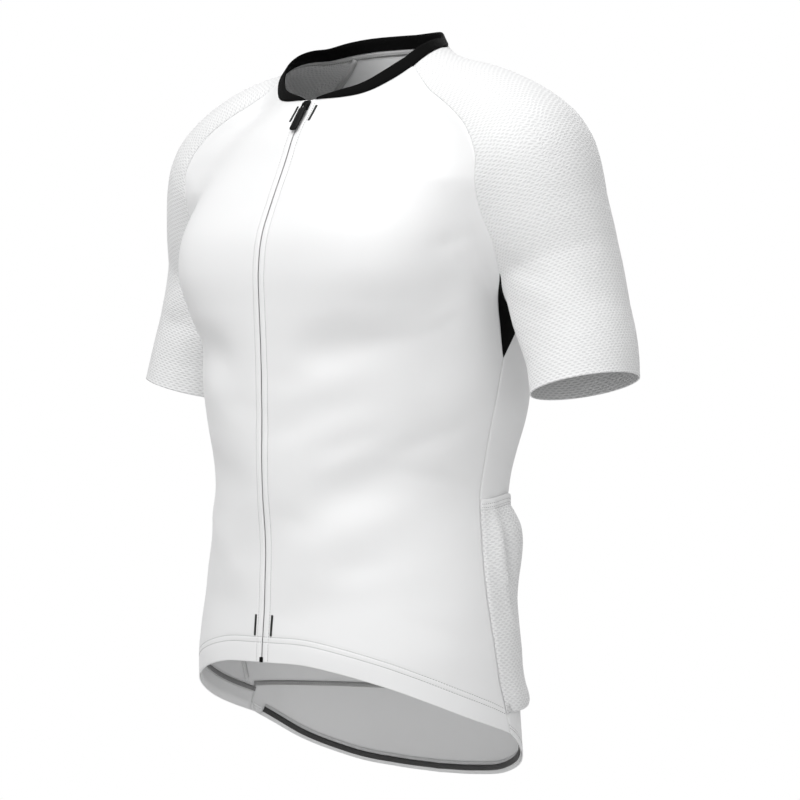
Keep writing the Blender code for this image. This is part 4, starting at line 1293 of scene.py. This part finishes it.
plain_front = folded(front_net)
tape_reach = np.array([0.0006, 0.0022, 0.0050, 0.0090, ZIP_TAPE_HALF])
tape_skin = np.stack([beside_zip(plain_front, reach) for reach in tape_reach], axis=1)
tape_out = normal(tape_skin)
tape_back = tape_skin - tape_out * (CLOTH + LAY_GAP + 0.0004)
in_middle = np.array([0.0, 1.0, 1.0])
zip_middle, zip_out = tape_skin[:, 0] * in_middle, tape_out[:, 0] * in_middle
zip_length = line_length(zip_middle)
tape_map = strip_map(tape_reach, zip_length)
for side, word in SIDES:
    cloth(f"zip_tape_{word}", on_side(tape_back, side),
                        tape_map * np.array([side, 1]), [WHITE_TAPE],
                        thick=ZIP_TAPE)
    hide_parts("zip_tape")
print("zip length", round(zip_length[-1], 3), "m")

# %% Zip coil
COIL_PITCH = 0.0016
COIL_LINK = (0.0011, 0.0044, 0.0012)    # along the zip, across it and through it
COIL_BARE = 0.003           # each end of the zip has no links over this length
links = at_steps(zip_middle - zip_out * (CLOTH + COIL_LINK[2]), COIL_PITCH, COIL_BARE)
link_out = points_at(line_length(links), zip_length, zip_out)
piece("zip_coil", set_along(rounded_bar(*COIL_LINK, 0.0003), links,
                            *frame_along(links, link_out)), [COIL_PLASTIC])
print("links in the coil:", len(links))

# %% [markdown]
# ## Slider and pull tab
#
# The slider sits at the top of the zip, just under the collar.  Its body is a small
# moulded block with a bridge that holds the pull.  The pull is a flat tab that hangs
# down over the zip: a narrow head turns on the bridge, and a wider grip has rounded
# corners and a low ledge along its left edge.  The head, grip and slider are boxes
# that an operator has bevelled, and the ledge is one of the bevel's own faces, inset
# and pushed out.  Only the pull moves: it flips up about the bridge.

# %% Slider
SLIDER_BELOW = 0.0058       # slider's middle below the neck edge
HINGE_OUT = 0.0042          # the pull's axis above the cloth
PULL_WIDTH = 0.0086
PULL_LENGTH = 0.0255
GRIP_FROM = 0.0052          # the grip's upper end below the pull's axis
PULL_THICK = 0.0019


def zip_place(below):
    """A matrix that puts x across, y down the zip and z out of the cloth there."""
    here, ahead = points_at(np.array([below, below + 0.004]), zip_length[-1] - zip_length[::-1],
                            zip_middle[::-1])
    down = Vector(ahead - here).normalized()
    out = down.cross(Vector((1.0, 0.0, 0.0))).normalized()
    out = out if out.y < 0 else -out
    turn = Matrix((Vector((1.0, 0.0, 0.0)), down, out)).transposed().to_4x4()
    return Matrix.Translation(Vector(here)) @ turn


def block(bm, low, high, corner=0.0, edge=0.0, segments=3):
    """A box with rounded upright corners and softened edges.

    Gives the outermost face of the softened edges, and of equal ones the left one.
    """
    tall = high[2] - low[2]
    made = set(bmesh.ops.create_cube(bm, size=1.0)["verts"])
    bmesh.ops.scale(bm, vec=[b - a for a, b in zip(low, high)], verts=list(made))
    bmesh.ops.translate(bm, vec=[(a + b) / 2 for a, b in zip(low, high)], verts=list(made))

    def rise(e):
        return abs((e.verts[0].co - e.verts[1].co).z)

    if corner:
        upright = [e for e in bm.edges if e.verts[0] in made and rise(e) > 0.9 * tall]
        done = bmesh.ops.bevel(bm, geom=upright, offset=corner, segments=4, profile=0.5,
                               affect="EDGES", material=-1)
        made = {v for v in made if v.is_valid} | set(done["verts"])
    faces = {f for v in made for f in v.link_faces}
    if edge:
        rims = [e for e in bm.edges if e.link_faces[0] in faces and rise(e) < 0.1 * tall]
        done = bmesh.ops.bevel(bm, geom=rims, offset=edge, segments=segments, profile=0.5,
                               affect="EDGES", material=-1)
        faces = {f for f in faces if f.is_valid} | set(done["faces"])
    return max(faces, key=lambda f: (round(f.calc_center_median().z, 6),
                                     round(f.calc_area(), 10), f.calc_center_median().x))


def moulded_piece(name, bm, below, body="jersey"):
    """A black plastic piece, set down on the zip so far below the neck."""
    bm.transform(zip_place(below))
    bmesh.ops.recalc_face_normals(bm, faces=bm.faces)
    return piece(name, bm, [BLACK_PLASTIC], body)


SLIDER_BLOCKS = [
    # from x, y, z,              to x, y, z,               corner, edge
    ((-0.0031, -0.0048, 0.0004), (0.0031, 0.0056, 0.0026), 0.0013, 0.0005),
    ((-0.0012, -0.0044, 0.0021), (0.0012, 0.0048, 0.0030), 0.0007, 0.0003),
]
ARCH_BAR = 0.0007           # radius of the bridge's bar, before it is widened
ARCH_REACH = 0.0028         # the bridge's feet stand so far from the slider's middle
ARCH_FOOT = 0.0026
bm = bmesh.new()
for low, high, corner, soft in SLIDER_BLOCKS:
    block(bm, low, high, corner, soft)
arch = bmesh.ops.create_circle(bm, cap_ends=False, segments=8, radius=ARCH_BAR)["verts"]
bmesh.ops.scale(bm, vec=(1.6, 1.0, 1.0), verts=arch)
bmesh.ops.translate(bm, vec=(0.0, -ARCH_REACH, ARCH_FOOT), verts=arch)
ring = [edge for edge in bm.edges if edge.verts[0] in arch]
bmesh.ops.spin(bm, geom=arch + ring, cent=(0.0, 0.0, ARCH_FOOT), axis=(1.0, 0.0, 0.0),
               angle=-math.pi, steps=14, use_merge=False)
bmesh.ops.holes_fill(bm, edges=[edge for edge in bm.edges if edge.is_boundary], sides=12)
slider = moulded_piece("zip_slider_body", bm, SLIDER_BELOW)
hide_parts("zip_slider")
print("slider", [round(v, 4) for v in slider.dimensions])

# %% Pull tab
bm = bmesh.new()
low, high = HINGE_OUT - PULL_THICK / 2, HINGE_OUT + PULL_THICK / 2
for x in (-0.0025, 0.0025):
    block(bm, (x - 0.0007, -0.0009, HINGE_OUT - 0.0008),
          (x + 0.0007, 0.0066, HINGE_OUT + 0.0008), 0.0, 0.0003, 2)
block(bm, (-0.0031, -0.0008, HINGE_OUT - 0.0007), (0.0031, 0.0008, HINGE_OUT + 0.0007),
      0.0, 0.0005, 3)
ledge = block(bm, (-PULL_WIDTH / 2, GRIP_FROM, low),
              (PULL_WIDTH / 2, GRIP_FROM + PULL_LENGTH, high), 0.0021, 0.0004)
bmesh.ops.inset_region(bm, faces=[ledge], thickness=0.0011, depth=0.0)
bmesh.ops.inset_region(bm, faces=[ledge], thickness=0.0002, depth=-0.0004)
pull = moulded_piece("zip_pull_tab", bm, SLIDER_BELOW, "pull_tab")
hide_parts("zip_pull")
print("pull tab", [round(v, 4) for v in pull.dimensions])

# %% [markdown]
# ## Rear pockets
#
# One mesh panel is laid over the lower back and divided into three pockets by two
# rows of stitches.  It stands off the back, most in the middle pocket, and each bag
# sags over the seam that closes its foot.  A table gives the section of a bag: how
# far up it goes and how far out it stands.  Creases run from the corners of the band,
# where the elastic holds the cloth in.  Simulation could fill the bags, but empty
# pockets keep the shape of their cut, which the table describes better.

# %% Pocket form
POCKETS = 3
POCKET_DEEP = 0.168         # foot to mouth
POCKET_CLOTH = 0.0007       # an airy knit, thinner than the back's
POCKET_FOOT_ROW = 3 * FINE
POCKET_MOUTH_ROW = 11.4 * FINE
MOUTH_CLIMB = 0.45 * FINE   # the mouth stands a little higher behind than at the sides
POCKET_SECTION = np.array([
    # share of the height, out from the back (m)
    (0.000, 0.0003),
    (-0.022, 0.0012),
    (-0.038, 0.0040),
    (-0.026, 0.0072),
    (0.004, 0.0088),
    (0.045, 0.0082),
    (0.100, 0.0056),
    (0.180, 0.0036),
    (0.280, 0.0034),
    (0.400, 0.0027),
    (0.510, 0.0019),
    (0.600, 0.0042),
    (0.690, 0.0080),
    (0.790, 0.0108),
    (0.880, 0.0100),
    (0.950, 0.0056),
    (1.000, 0.0012),
])
POCKET_CREASES = [
    # u0, v0 to u1, v1,          width, depth
    (0.036, 1.020, 0.060, 0.380, 0.0045, 0.0050),
    (0.056, 0.940, 0.080, 0.440, 0.0075, -0.0085),
    (0.020, 0.950, 0.034, 0.450, 0.0060, -0.0018),
    (0.970, 1.000, 0.900, 0.600, 0.016, -0.0022),
    (0.300, 0.960, 0.235, 0.640, 0.016, -0.0015),
    (0.365, 0.980, 0.430, 0.720, 0.018, -0.0016),
    (0.630, 0.960, 0.575, 0.660, 0.016, -0.0014),
    (0.705, 0.980, 0.770, 0.620, 0.018, -0.0015),
    (0.055, 0.330, 0.240, 0.420, 0.020, -0.0013),
    (0.410, 0.300, 0.590, 0.340, 0.022, -0.0014),
    (0.740, 0.400, 0.930, 0.330, 0.020, -0.0012),
    (0.120, 0.130, 0.260, 0.190, 0.016, -0.0012),
    (0.440, 0.150, 0.560, 0.110, 0.018, -0.0012),
    (0.720, 0.180, 0.850, 0.120, 0.016, -0.0012),
]


def stepped(t):
    """From 0 to 1 with soft ends."""
    t = np.clip(t, 0.0, 1.0)
    return t * t * (3 - 2 * t)


MIDDLE_FULLER = 0.3         # the middle bag stands off this much more
BAG_SQUARE = 0.6            # below 1 a bag is squarer than an arch
SIDE_FLAT = 0.04            # share of the width that stays flat at each side seam


def pocket_width(u):
    """How much of the full depth each bag has across its width."""
    one = np.abs(np.sin(np.pi * POCKETS * u)) ** BAG_SQUARE
    fuller = 1 + MIDDLE_FULLER * stepped(1 - np.abs(u - 0.5) / 0.17)
    return one * fuller * stepped(u / SIDE_FLAT) * stepped((1 - u) / SIDE_FLAT)


PANEL_WIDE = 2.2            # the panel's width over its height


def pocket_push(u, v):
    """How far the creases move the panel, as a share of its bags' width."""
    push = np.zeros(np.broadcast(u, v).shape)
    for u0, v0, u1, v1, width, depth in POCKET_CREASES:
        along = np.array([(u1 - u0) * PANEL_WIDE, v1 - v0])
        du, dv = (u - u0) * PANEL_WIDE, v - v0
        t = np.clip((du * along[0] + dv * along[1]) / (along @ along), 0.0, 1.0)
        away = np.hypot(du - t * along[0], dv - t * along[1]) * POCKET_DEEP
        push = push + depth * np.sin(np.pi * np.clip(0.15 + 0.7 * t, 0, 1)) * np.exp(
            -(away / width) ** 2)
    return push


back_skin = folded(back_fine)
back_out = normal(back_fine)


def back_row(values, row):
    """A row of the back's net, or one that lies between rows and may climb across it."""
    column = np.arange(values.shape[1])
    row = np.broadcast_to(row, column.shape)
    low = np.clip(np.floor(row).astype(int), 0, len(values) - 2)
    part = (row - low)[:, None]
    return values[low, column] * (1 - part) + values[low + 1, column] * part


pocket_profile = between(POCKET_SECTION, 5)
u = np.linspace(0.0, 1.0, back_fine.shape[1])
foot_up = unit(back_row(back_skin, POCKET_FOOT_ROW + 1) - back_row(back_skin, POCKET_FOOT_ROW))
rows = []
bag = pocket_width(u)
inwards = np.minimum(u, 1 - u)      # share of the width from the nearer side
rim = stepped(inwards / 0.012)      # 0 at the side seams, where the panel lies flat
sag = 1.35 - 0.35 * stepped(inwards / 0.10)
mouth_row = POCKET_MOUTH_ROW + MOUTH_CLIMB * stepped(inwards / 0.13)
for v, out in pocket_profile:
    row = POCKET_FOOT_ROW + (mouth_row - POCKET_FOOT_ROW) * max(v, 0.0)
    lie = back_row(back_skin, row) + foot_up * (POCKET_DEEP * min(v, 0.0) * sag)[:, None]
    lift = (LAY_GAP + POCKET_CLOTH + 0.0004 * rim
            + np.maximum(bag * (out + pocket_push(u, v)), 0.0))
    rows.append(lie + back_row(back_out, row) * lift[:, None])
pocket_face = np.stack(rows)
pocket_across = np.linalg.norm(np.diff(pocket_face, axis=1), axis=2)
pocket_up = np.linalg.norm(np.diff(pocket_face, axis=0), axis=2)
pocket_map = np.zeros((*pocket_face.shape[:2], 2))
pocket_map[:, 1:, 0] = np.cumsum(pocket_across.mean(axis=0))[None, :]
pocket_map[1:, :, 1] = np.cumsum(pocket_up.mean(axis=1))[:, None]
pocket = cloth("pocket_mesh", pocket_face, pocket_map, [WHITE_MESH, MESH_REVERSE_SHADED],
               thick=POCKET_CLOTH)
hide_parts("pocket_panel")
print("pocket panel", [round(v, 3) for v in pocket.dimensions])

# %% Pocket band
BAND_TALL = 0.0100
BAND_WALL = 0.0010
BAND_ROWS = (0.0, 0.0006, 0.0014, 0.0020, 0.0026, 0.0048, 0.0054, 0.0060, 0.0090, 0.0096, 0.0100)
BAND_STITCHES = (0.0020, 0.0054)
mouth = back_row(back_skin, mouth_row)
mouth_up = unit(back_row(back_skin, mouth_row + 2) - mouth)
mouth_out = back_row(back_out, mouth_row)
band_lift = (LAY_GAP + BAND_WALL + 0.0003 * rim + np.maximum(
    bag * (POCKET_SECTION[-1, 1] + pocket_push(u, 1.0)), 0.0))[:, None]
band_rows = []
for tall in BAND_ROWS:
    soft_edge = 0.0004 * (near(tall, 0.0, 0.0005) + near(tall, BAND_TALL, 0.0005))
    channel = 0.0003 * sum(near(tall, row, 0.0006) for row in BAND_STITCHES)
    band_rows.append(mouth + mouth_up * tall
                     + mouth_out * (band_lift - soft_edge - channel))
band_face = np.stack(band_rows)
band_map = strip_map(line_length(mouth), np.array(BAND_ROWS))
band = cloth("pocket_band_elastic", band_face, band_map, [WHITE_KNIT],
             thick=BAND_WALL)
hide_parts("pocket_band")
print("band", round(line_length(mouth)[-1], 3), "m")

# %% [markdown]
# ## Seam allowances and turnings
#
# Inside, every seam is bound with a narrow tape, and the hems are turned up.  They
# hardly show from outside, but the neck and the tail let the eye in.  Each is a
# ribbon that lies under the cloth's inner face and follows one line of the pattern,
# so one helper makes them all.  It bends each ribbon over the same folds as the panel
# above it, and lets it dip where the seam itself dips.  The twin needle's under thread
# covers the turning's raw edge with a dark grey lattice, which is a ribbon too.

# %% Ribbons inside the cloth
RIBBON = 0.0005             # thickness of a tape or turning
INNER = CLOTH + LAY_GAP + RIBBON
TAPE_DIP = 0.0007           # a tape over a seam dips this far
TAPE_BEND = 0.0012          # within this distance of the seam


def ribbon(name, line, across, low, high, finish, slot, under=CLOTH + LAY_GAP, wall=RIBBON):
    """A strip below the inner face, from low to high metres to one side of a line."""
    steps = np.unique(np.concatenate([np.linspace(low, high, 4),
                                      [0.0, TAPE_BEND, -TAPE_BEND] if low < 0 else [low]]))
    rows = []
    for reach in steps:
        skin = settle(line + across * reach, 2)
        depth = under + (TAPE_DIP * near(reach, 0.0, TAPE_BEND) if low < 0 else 0.0)
        rows.append(with_relief(skin, -depth))
    return cloth(name, np.stack(rows), strip_map(line_length(line), steps), [finish],
                 thick=wall)


SEAM_TAPE_HALF = 0.0026
seam_tapes = {1: [], -1: []}
for name in ("raglan_front", "raglan_back", "side", "gusset_front", "gusset_back", "gusset_top"):
    for side, word in SIDES:
        line = on_side(fine[name][2:-2], side)
        seam_tapes[side].append(ribbon(
            f"{name}_tape_{word}", line, sideways(line, (side, 0.0, 0.3)), -SEAM_TAPE_HALF,
            SEAM_TAPE_HALF, NECK_TAPE if "raglan" in name else PALE_TAPE, "white_tape"))
print("seam tapes:", len(seam_tapes[1]) + len(seam_tapes[-1]))

# %% Turned hems
TURN_UP = 0.0235
TAIL_TURN = 0.0120
for side, word in SIDES:
    line = on_side(fine["hem_front"][8:-2], side)
    rise = sideways(line)
    ribbon(f"front_turning_{word}", line, rise, 0.0006, TURN_UP, WHITE_REVERSE_SHADED, "white_knit")
    ribbon(f"front_cover_{word}", line, rise, HEM_ROWS[0] + 0.0003, HEM_ROWS[1] - 0.0003,
               OVERLOCK, "grey_elastic", under=CLOTH + 2 * LAY_GAP + RIBBON)
tail_line = whole(fine["hem_back"])[2:-2]
tail_rise = sideways(tail_line)
tail_turning = ribbon("tail_turning", tail_line, tail_rise, 0.0005, TAIL_TURN, WHITE_REVERSE_SHADED,
                      "white_knit")
print("turnings:", TURN_UP, TAIL_TURN, "m")

# %% [markdown]
# The gripper is a ribbed elastic inside the tail.  It keeps the long back from riding
# up over the hips, and its rubbery ribs show as a dark line just above the edge.

# %% Gripper elastic, foot seam and neck tape
GRIPPER = (0.0036, 0.0090)      # from and to, above the tail's edge
gripper = ribbon("tail_gripper", tail_line, tail_rise, *GRIPPER, GREY_ELASTIC, "grey_elastic",
                 under=CLOTH + 2 * LAY_GAP + RIBBON, wall=0.0012)
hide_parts("back_gripper")
foot_line = whole(fine["pocket_foot"])[2:-2]
foot_rise = sideways(foot_line)
foot_tape = ribbon("pocket_foot_tape", foot_line, foot_rise, -0.0012, 0.0030, SEAM_TAPE,
                   "white_tape")
nape = neckline[neckline[:, 1] > -0.010]
nape_rise = sideways(nape)
neck_tape = ribbon("neck_tape", nape, -nape_rise, 0.0036, 0.0084, NECK_TAPE, "white_tape")
print("gripper", [round(v, 3) for v in gripper.dimensions])

# %% [markdown]
# ## Thread
#
# Topstitching holds the folded edges flat.  A stitch seen from a step away is a short
# bead of thread lying in a small channel, so each one is a stretched ball set into the
# channel that the cloth already has.  The rows follow rows of the panels' own nets,
# and so they can't wander off the cloth.

# %% Rows of stitches
STITCH_PITCH = 0.0028
STITCH = (0.0023, 0.00055, 0.00055)     # a bead's length, width and height
STITCH_BARE = 0.002         # each end of a row has no stitches over this length


def stitches(name, line, facing, finish=GREY_THREAD, pitch=STITCH_PITCH,
             size=STITCH):
    """Beads of thread along a line that lies on the cloth."""
    places = at_steps(line, pitch, STITCH_BARE)
    here = np.arange(len(places)) * pitch + STITCH_BARE
    out = points_at(here, line_length(line), facing)
    return piece(name, set_along(loop_of_thread(*size), places, *frame_along(places, out)),
                 [finish])


front_thread = {}
column = zip_near.index(ZIP_ROW)
for side, word in SIDES:
    face = front_faces[side]
    out = normal(face)
    front_thread[side] = [stitches(f"zip_stitches_{word}", face[:, column], out[:, column])]
    for number, height in enumerate(HEM_ROWS):
        row = hem_near.index(height)
        front_thread[side].append(stitches(f"hem_stitches_{number}_{word}", face[row], out[row]))
out = normal(back_face)
for number, height in enumerate(TAIL_ROWS):
    row = tail_near.index(height)
    stitches(f"tail_stitches_{number}", back_face[row], out[row])

# %% Pocket stitches
pocket_thread, band_thread = [], []
for number, height in enumerate(BAND_STITCHES):
    row = band_face[BAND_ROWS.index(height)]
    band_thread.append(stitches(f"band_stitches_{number}", row, mouth_out, pitch=0.0024,
                                size=(0.0018, 0.0005, 0.0005)))
first_row = int(np.argmax(pocket_profile[:, 0] > 0.03))
out_rows = np.stack([back_row(back_out, POCKET_FOOT_ROW + (mouth_row - POCKET_FOOT_ROW) * v)
                     for v in pocket_profile[first_row:, 0]])
for number in range(1, POCKETS):
    column = round(number * (pocket_face.shape[1] - 1) / POCKETS)
    for pair in (-1, 1):
        line = pocket_face[first_row:, column] + np.array([0.0015 * pair, 0.0, 0.0])
        pocket_thread.append(stitches(f"divider_stitches_{number}_{'ab'[pair > 0]}", line,
                                      out_rows[:, column]))
print("divider rows:", len(pocket_thread))

# %% Chain stitches inside the neck and along the pockets' foot
def inside_stitches(name, line, across, reach, under, finish, size):
    """Beads of thread on a tape inside, beside one line of the pattern."""
    skin = settle(line + across * reach, 2)
    return stitches(name, with_relief(skin, -under), -normal(skin), finish,
                    pitch=0.0022, size=size)


neck_chain = inside_stitches("neck_chain", nape, -nape_rise, 0.0076, INNER, GREY_THREAD,
                             (0.0017, 0.0006, 0.0004))
foot_chain = inside_stitches("foot_chain", foot_line, foot_rise, 0.0010, INNER + 0.0004,
                             PALE_THREAD, (0.0016, 0.0006, 0.0003))
print("chains made")

# %% [markdown]
# ## Bar tacks and bottom stop
#
# Four short black bars of satin stitch stand beside the zip: two under the collar and
# two above the hem.  They lock the ends of the zip's topstitching and are its only
# ornament.  The threads lie side by side across the bar, packed close.  At the foot
# of the zip a small moulded stop holds the two halves together.

# %% Bar tacks
TACKS = [
    # name,    side, from the zip, from this end, from,  to
    ("top",    1,    0.0115,       "neck",        0.007, 0.025),
    ("top",    -1,   0.0138,       "neck",        0.007, 0.025),
    ("bottom", 1,    0.0107,       "hem",         0.025, 0.044),
    ("bottom", -1,   0.0107,       "hem",         0.025, 0.044),
]
TACK_PITCH = 0.00042
TACK_THREAD = (0.0010, 0.0033, 0.0016)      # along the bar, across it and out
for name, side, apart, end, start, stop in TACKS:
    flip = np.array([side, 1, 1])
    line = beside_zip(front_faces[side] * flip, apart) * flip
    facing = normal(line)
    if end == "neck":
        line, facing = line[::-1], facing[::-1]
    here = np.arange(start, stop, TACK_PITCH)
    places, out = (points_at(here, line_length(line), values) for values in (line, facing))
    front_thread[side].append(piece(
        f"bar_tack_{name}_{dict(SIDES)[side]}",
        set_along(loop_of_thread(*TACK_THREAD), places, *frame_along(places, out)),
        [BLACK_THREAD]))
print("bar tacks:", len(TACKS))

# %% Bottom stop
STOP_BELOW = 0.5375         # its middle below the neck edge, at the foot of the zip
bm = bmesh.new()
block(bm, (-0.0021, -0.0024, -0.0006), (0.0021, 0.0024, 0.0012), 0.0008, 0.0003)
stop_block = moulded_piece("zip_stop_block", bm, STOP_BELOW)
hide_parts("zip_stop")
print("stop", [round(v, 4) for v in stop_block.dimensions])

# %% [markdown]
# ## Cloth facts and the floor
#
# Each panel's size and area are worked out from the flat patterns above, and then
# not used.  All of it is held in shape by the figure it is worn on, as stretched cloth.
# The floor is a plain pale sheet well below the hem.

# %% Sizes of the flat pattern
def declare(flat):
    """Work out a flat pattern panel's size and area, which are not kept."""
    cut_size(flat)
    cut_area(flat)


for side, _ in SIDES:
    declare(front_cut)
declare(back_cut)
corners, tip = gusset_cut[-1, [0, -1]], gusset_cut[0].mean(axis=0)
gusset_size = (float(np.linalg.norm(corners[1] - corners[0])),
               float(np.linalg.norm(gusset_cut[-1, GUSSET_CELLS // 2] - tip)))
print("a gusset's triangle:", [round(v, 3) for v in gusset_size], round(cut_area(gusset_cut), 5))
for side, _ in SIDES:
    declare(sleeve_cut)
    cut_area(gusset_cut)
declare(pocket_map)
print("declared sheets:", len(SIDES) * 4 + 3)

# %% Floor and finish
FLOOR_HEIGHT = -1.4
bm = bmesh.new()
bmesh.ops.create_grid(bm, x_segments=1, y_segments=1, size=3.0)
bmesh.ops.translate(bm, vec=(0.0, 0.0, FLOOR_HEIGHT), verts=bm.verts)
floor = in_scene("floor", as_mesh("floor", bm))
pale = Finish("pale_floor", 0.8, Specular_IOR_Level=0.2)
cloud = pale.noise(1.5, 3.0)
pale.feed("Base Color", pale.blend(cloud, grey(0.72), grey(0.76)))
floor.data.materials.append(pale.material)
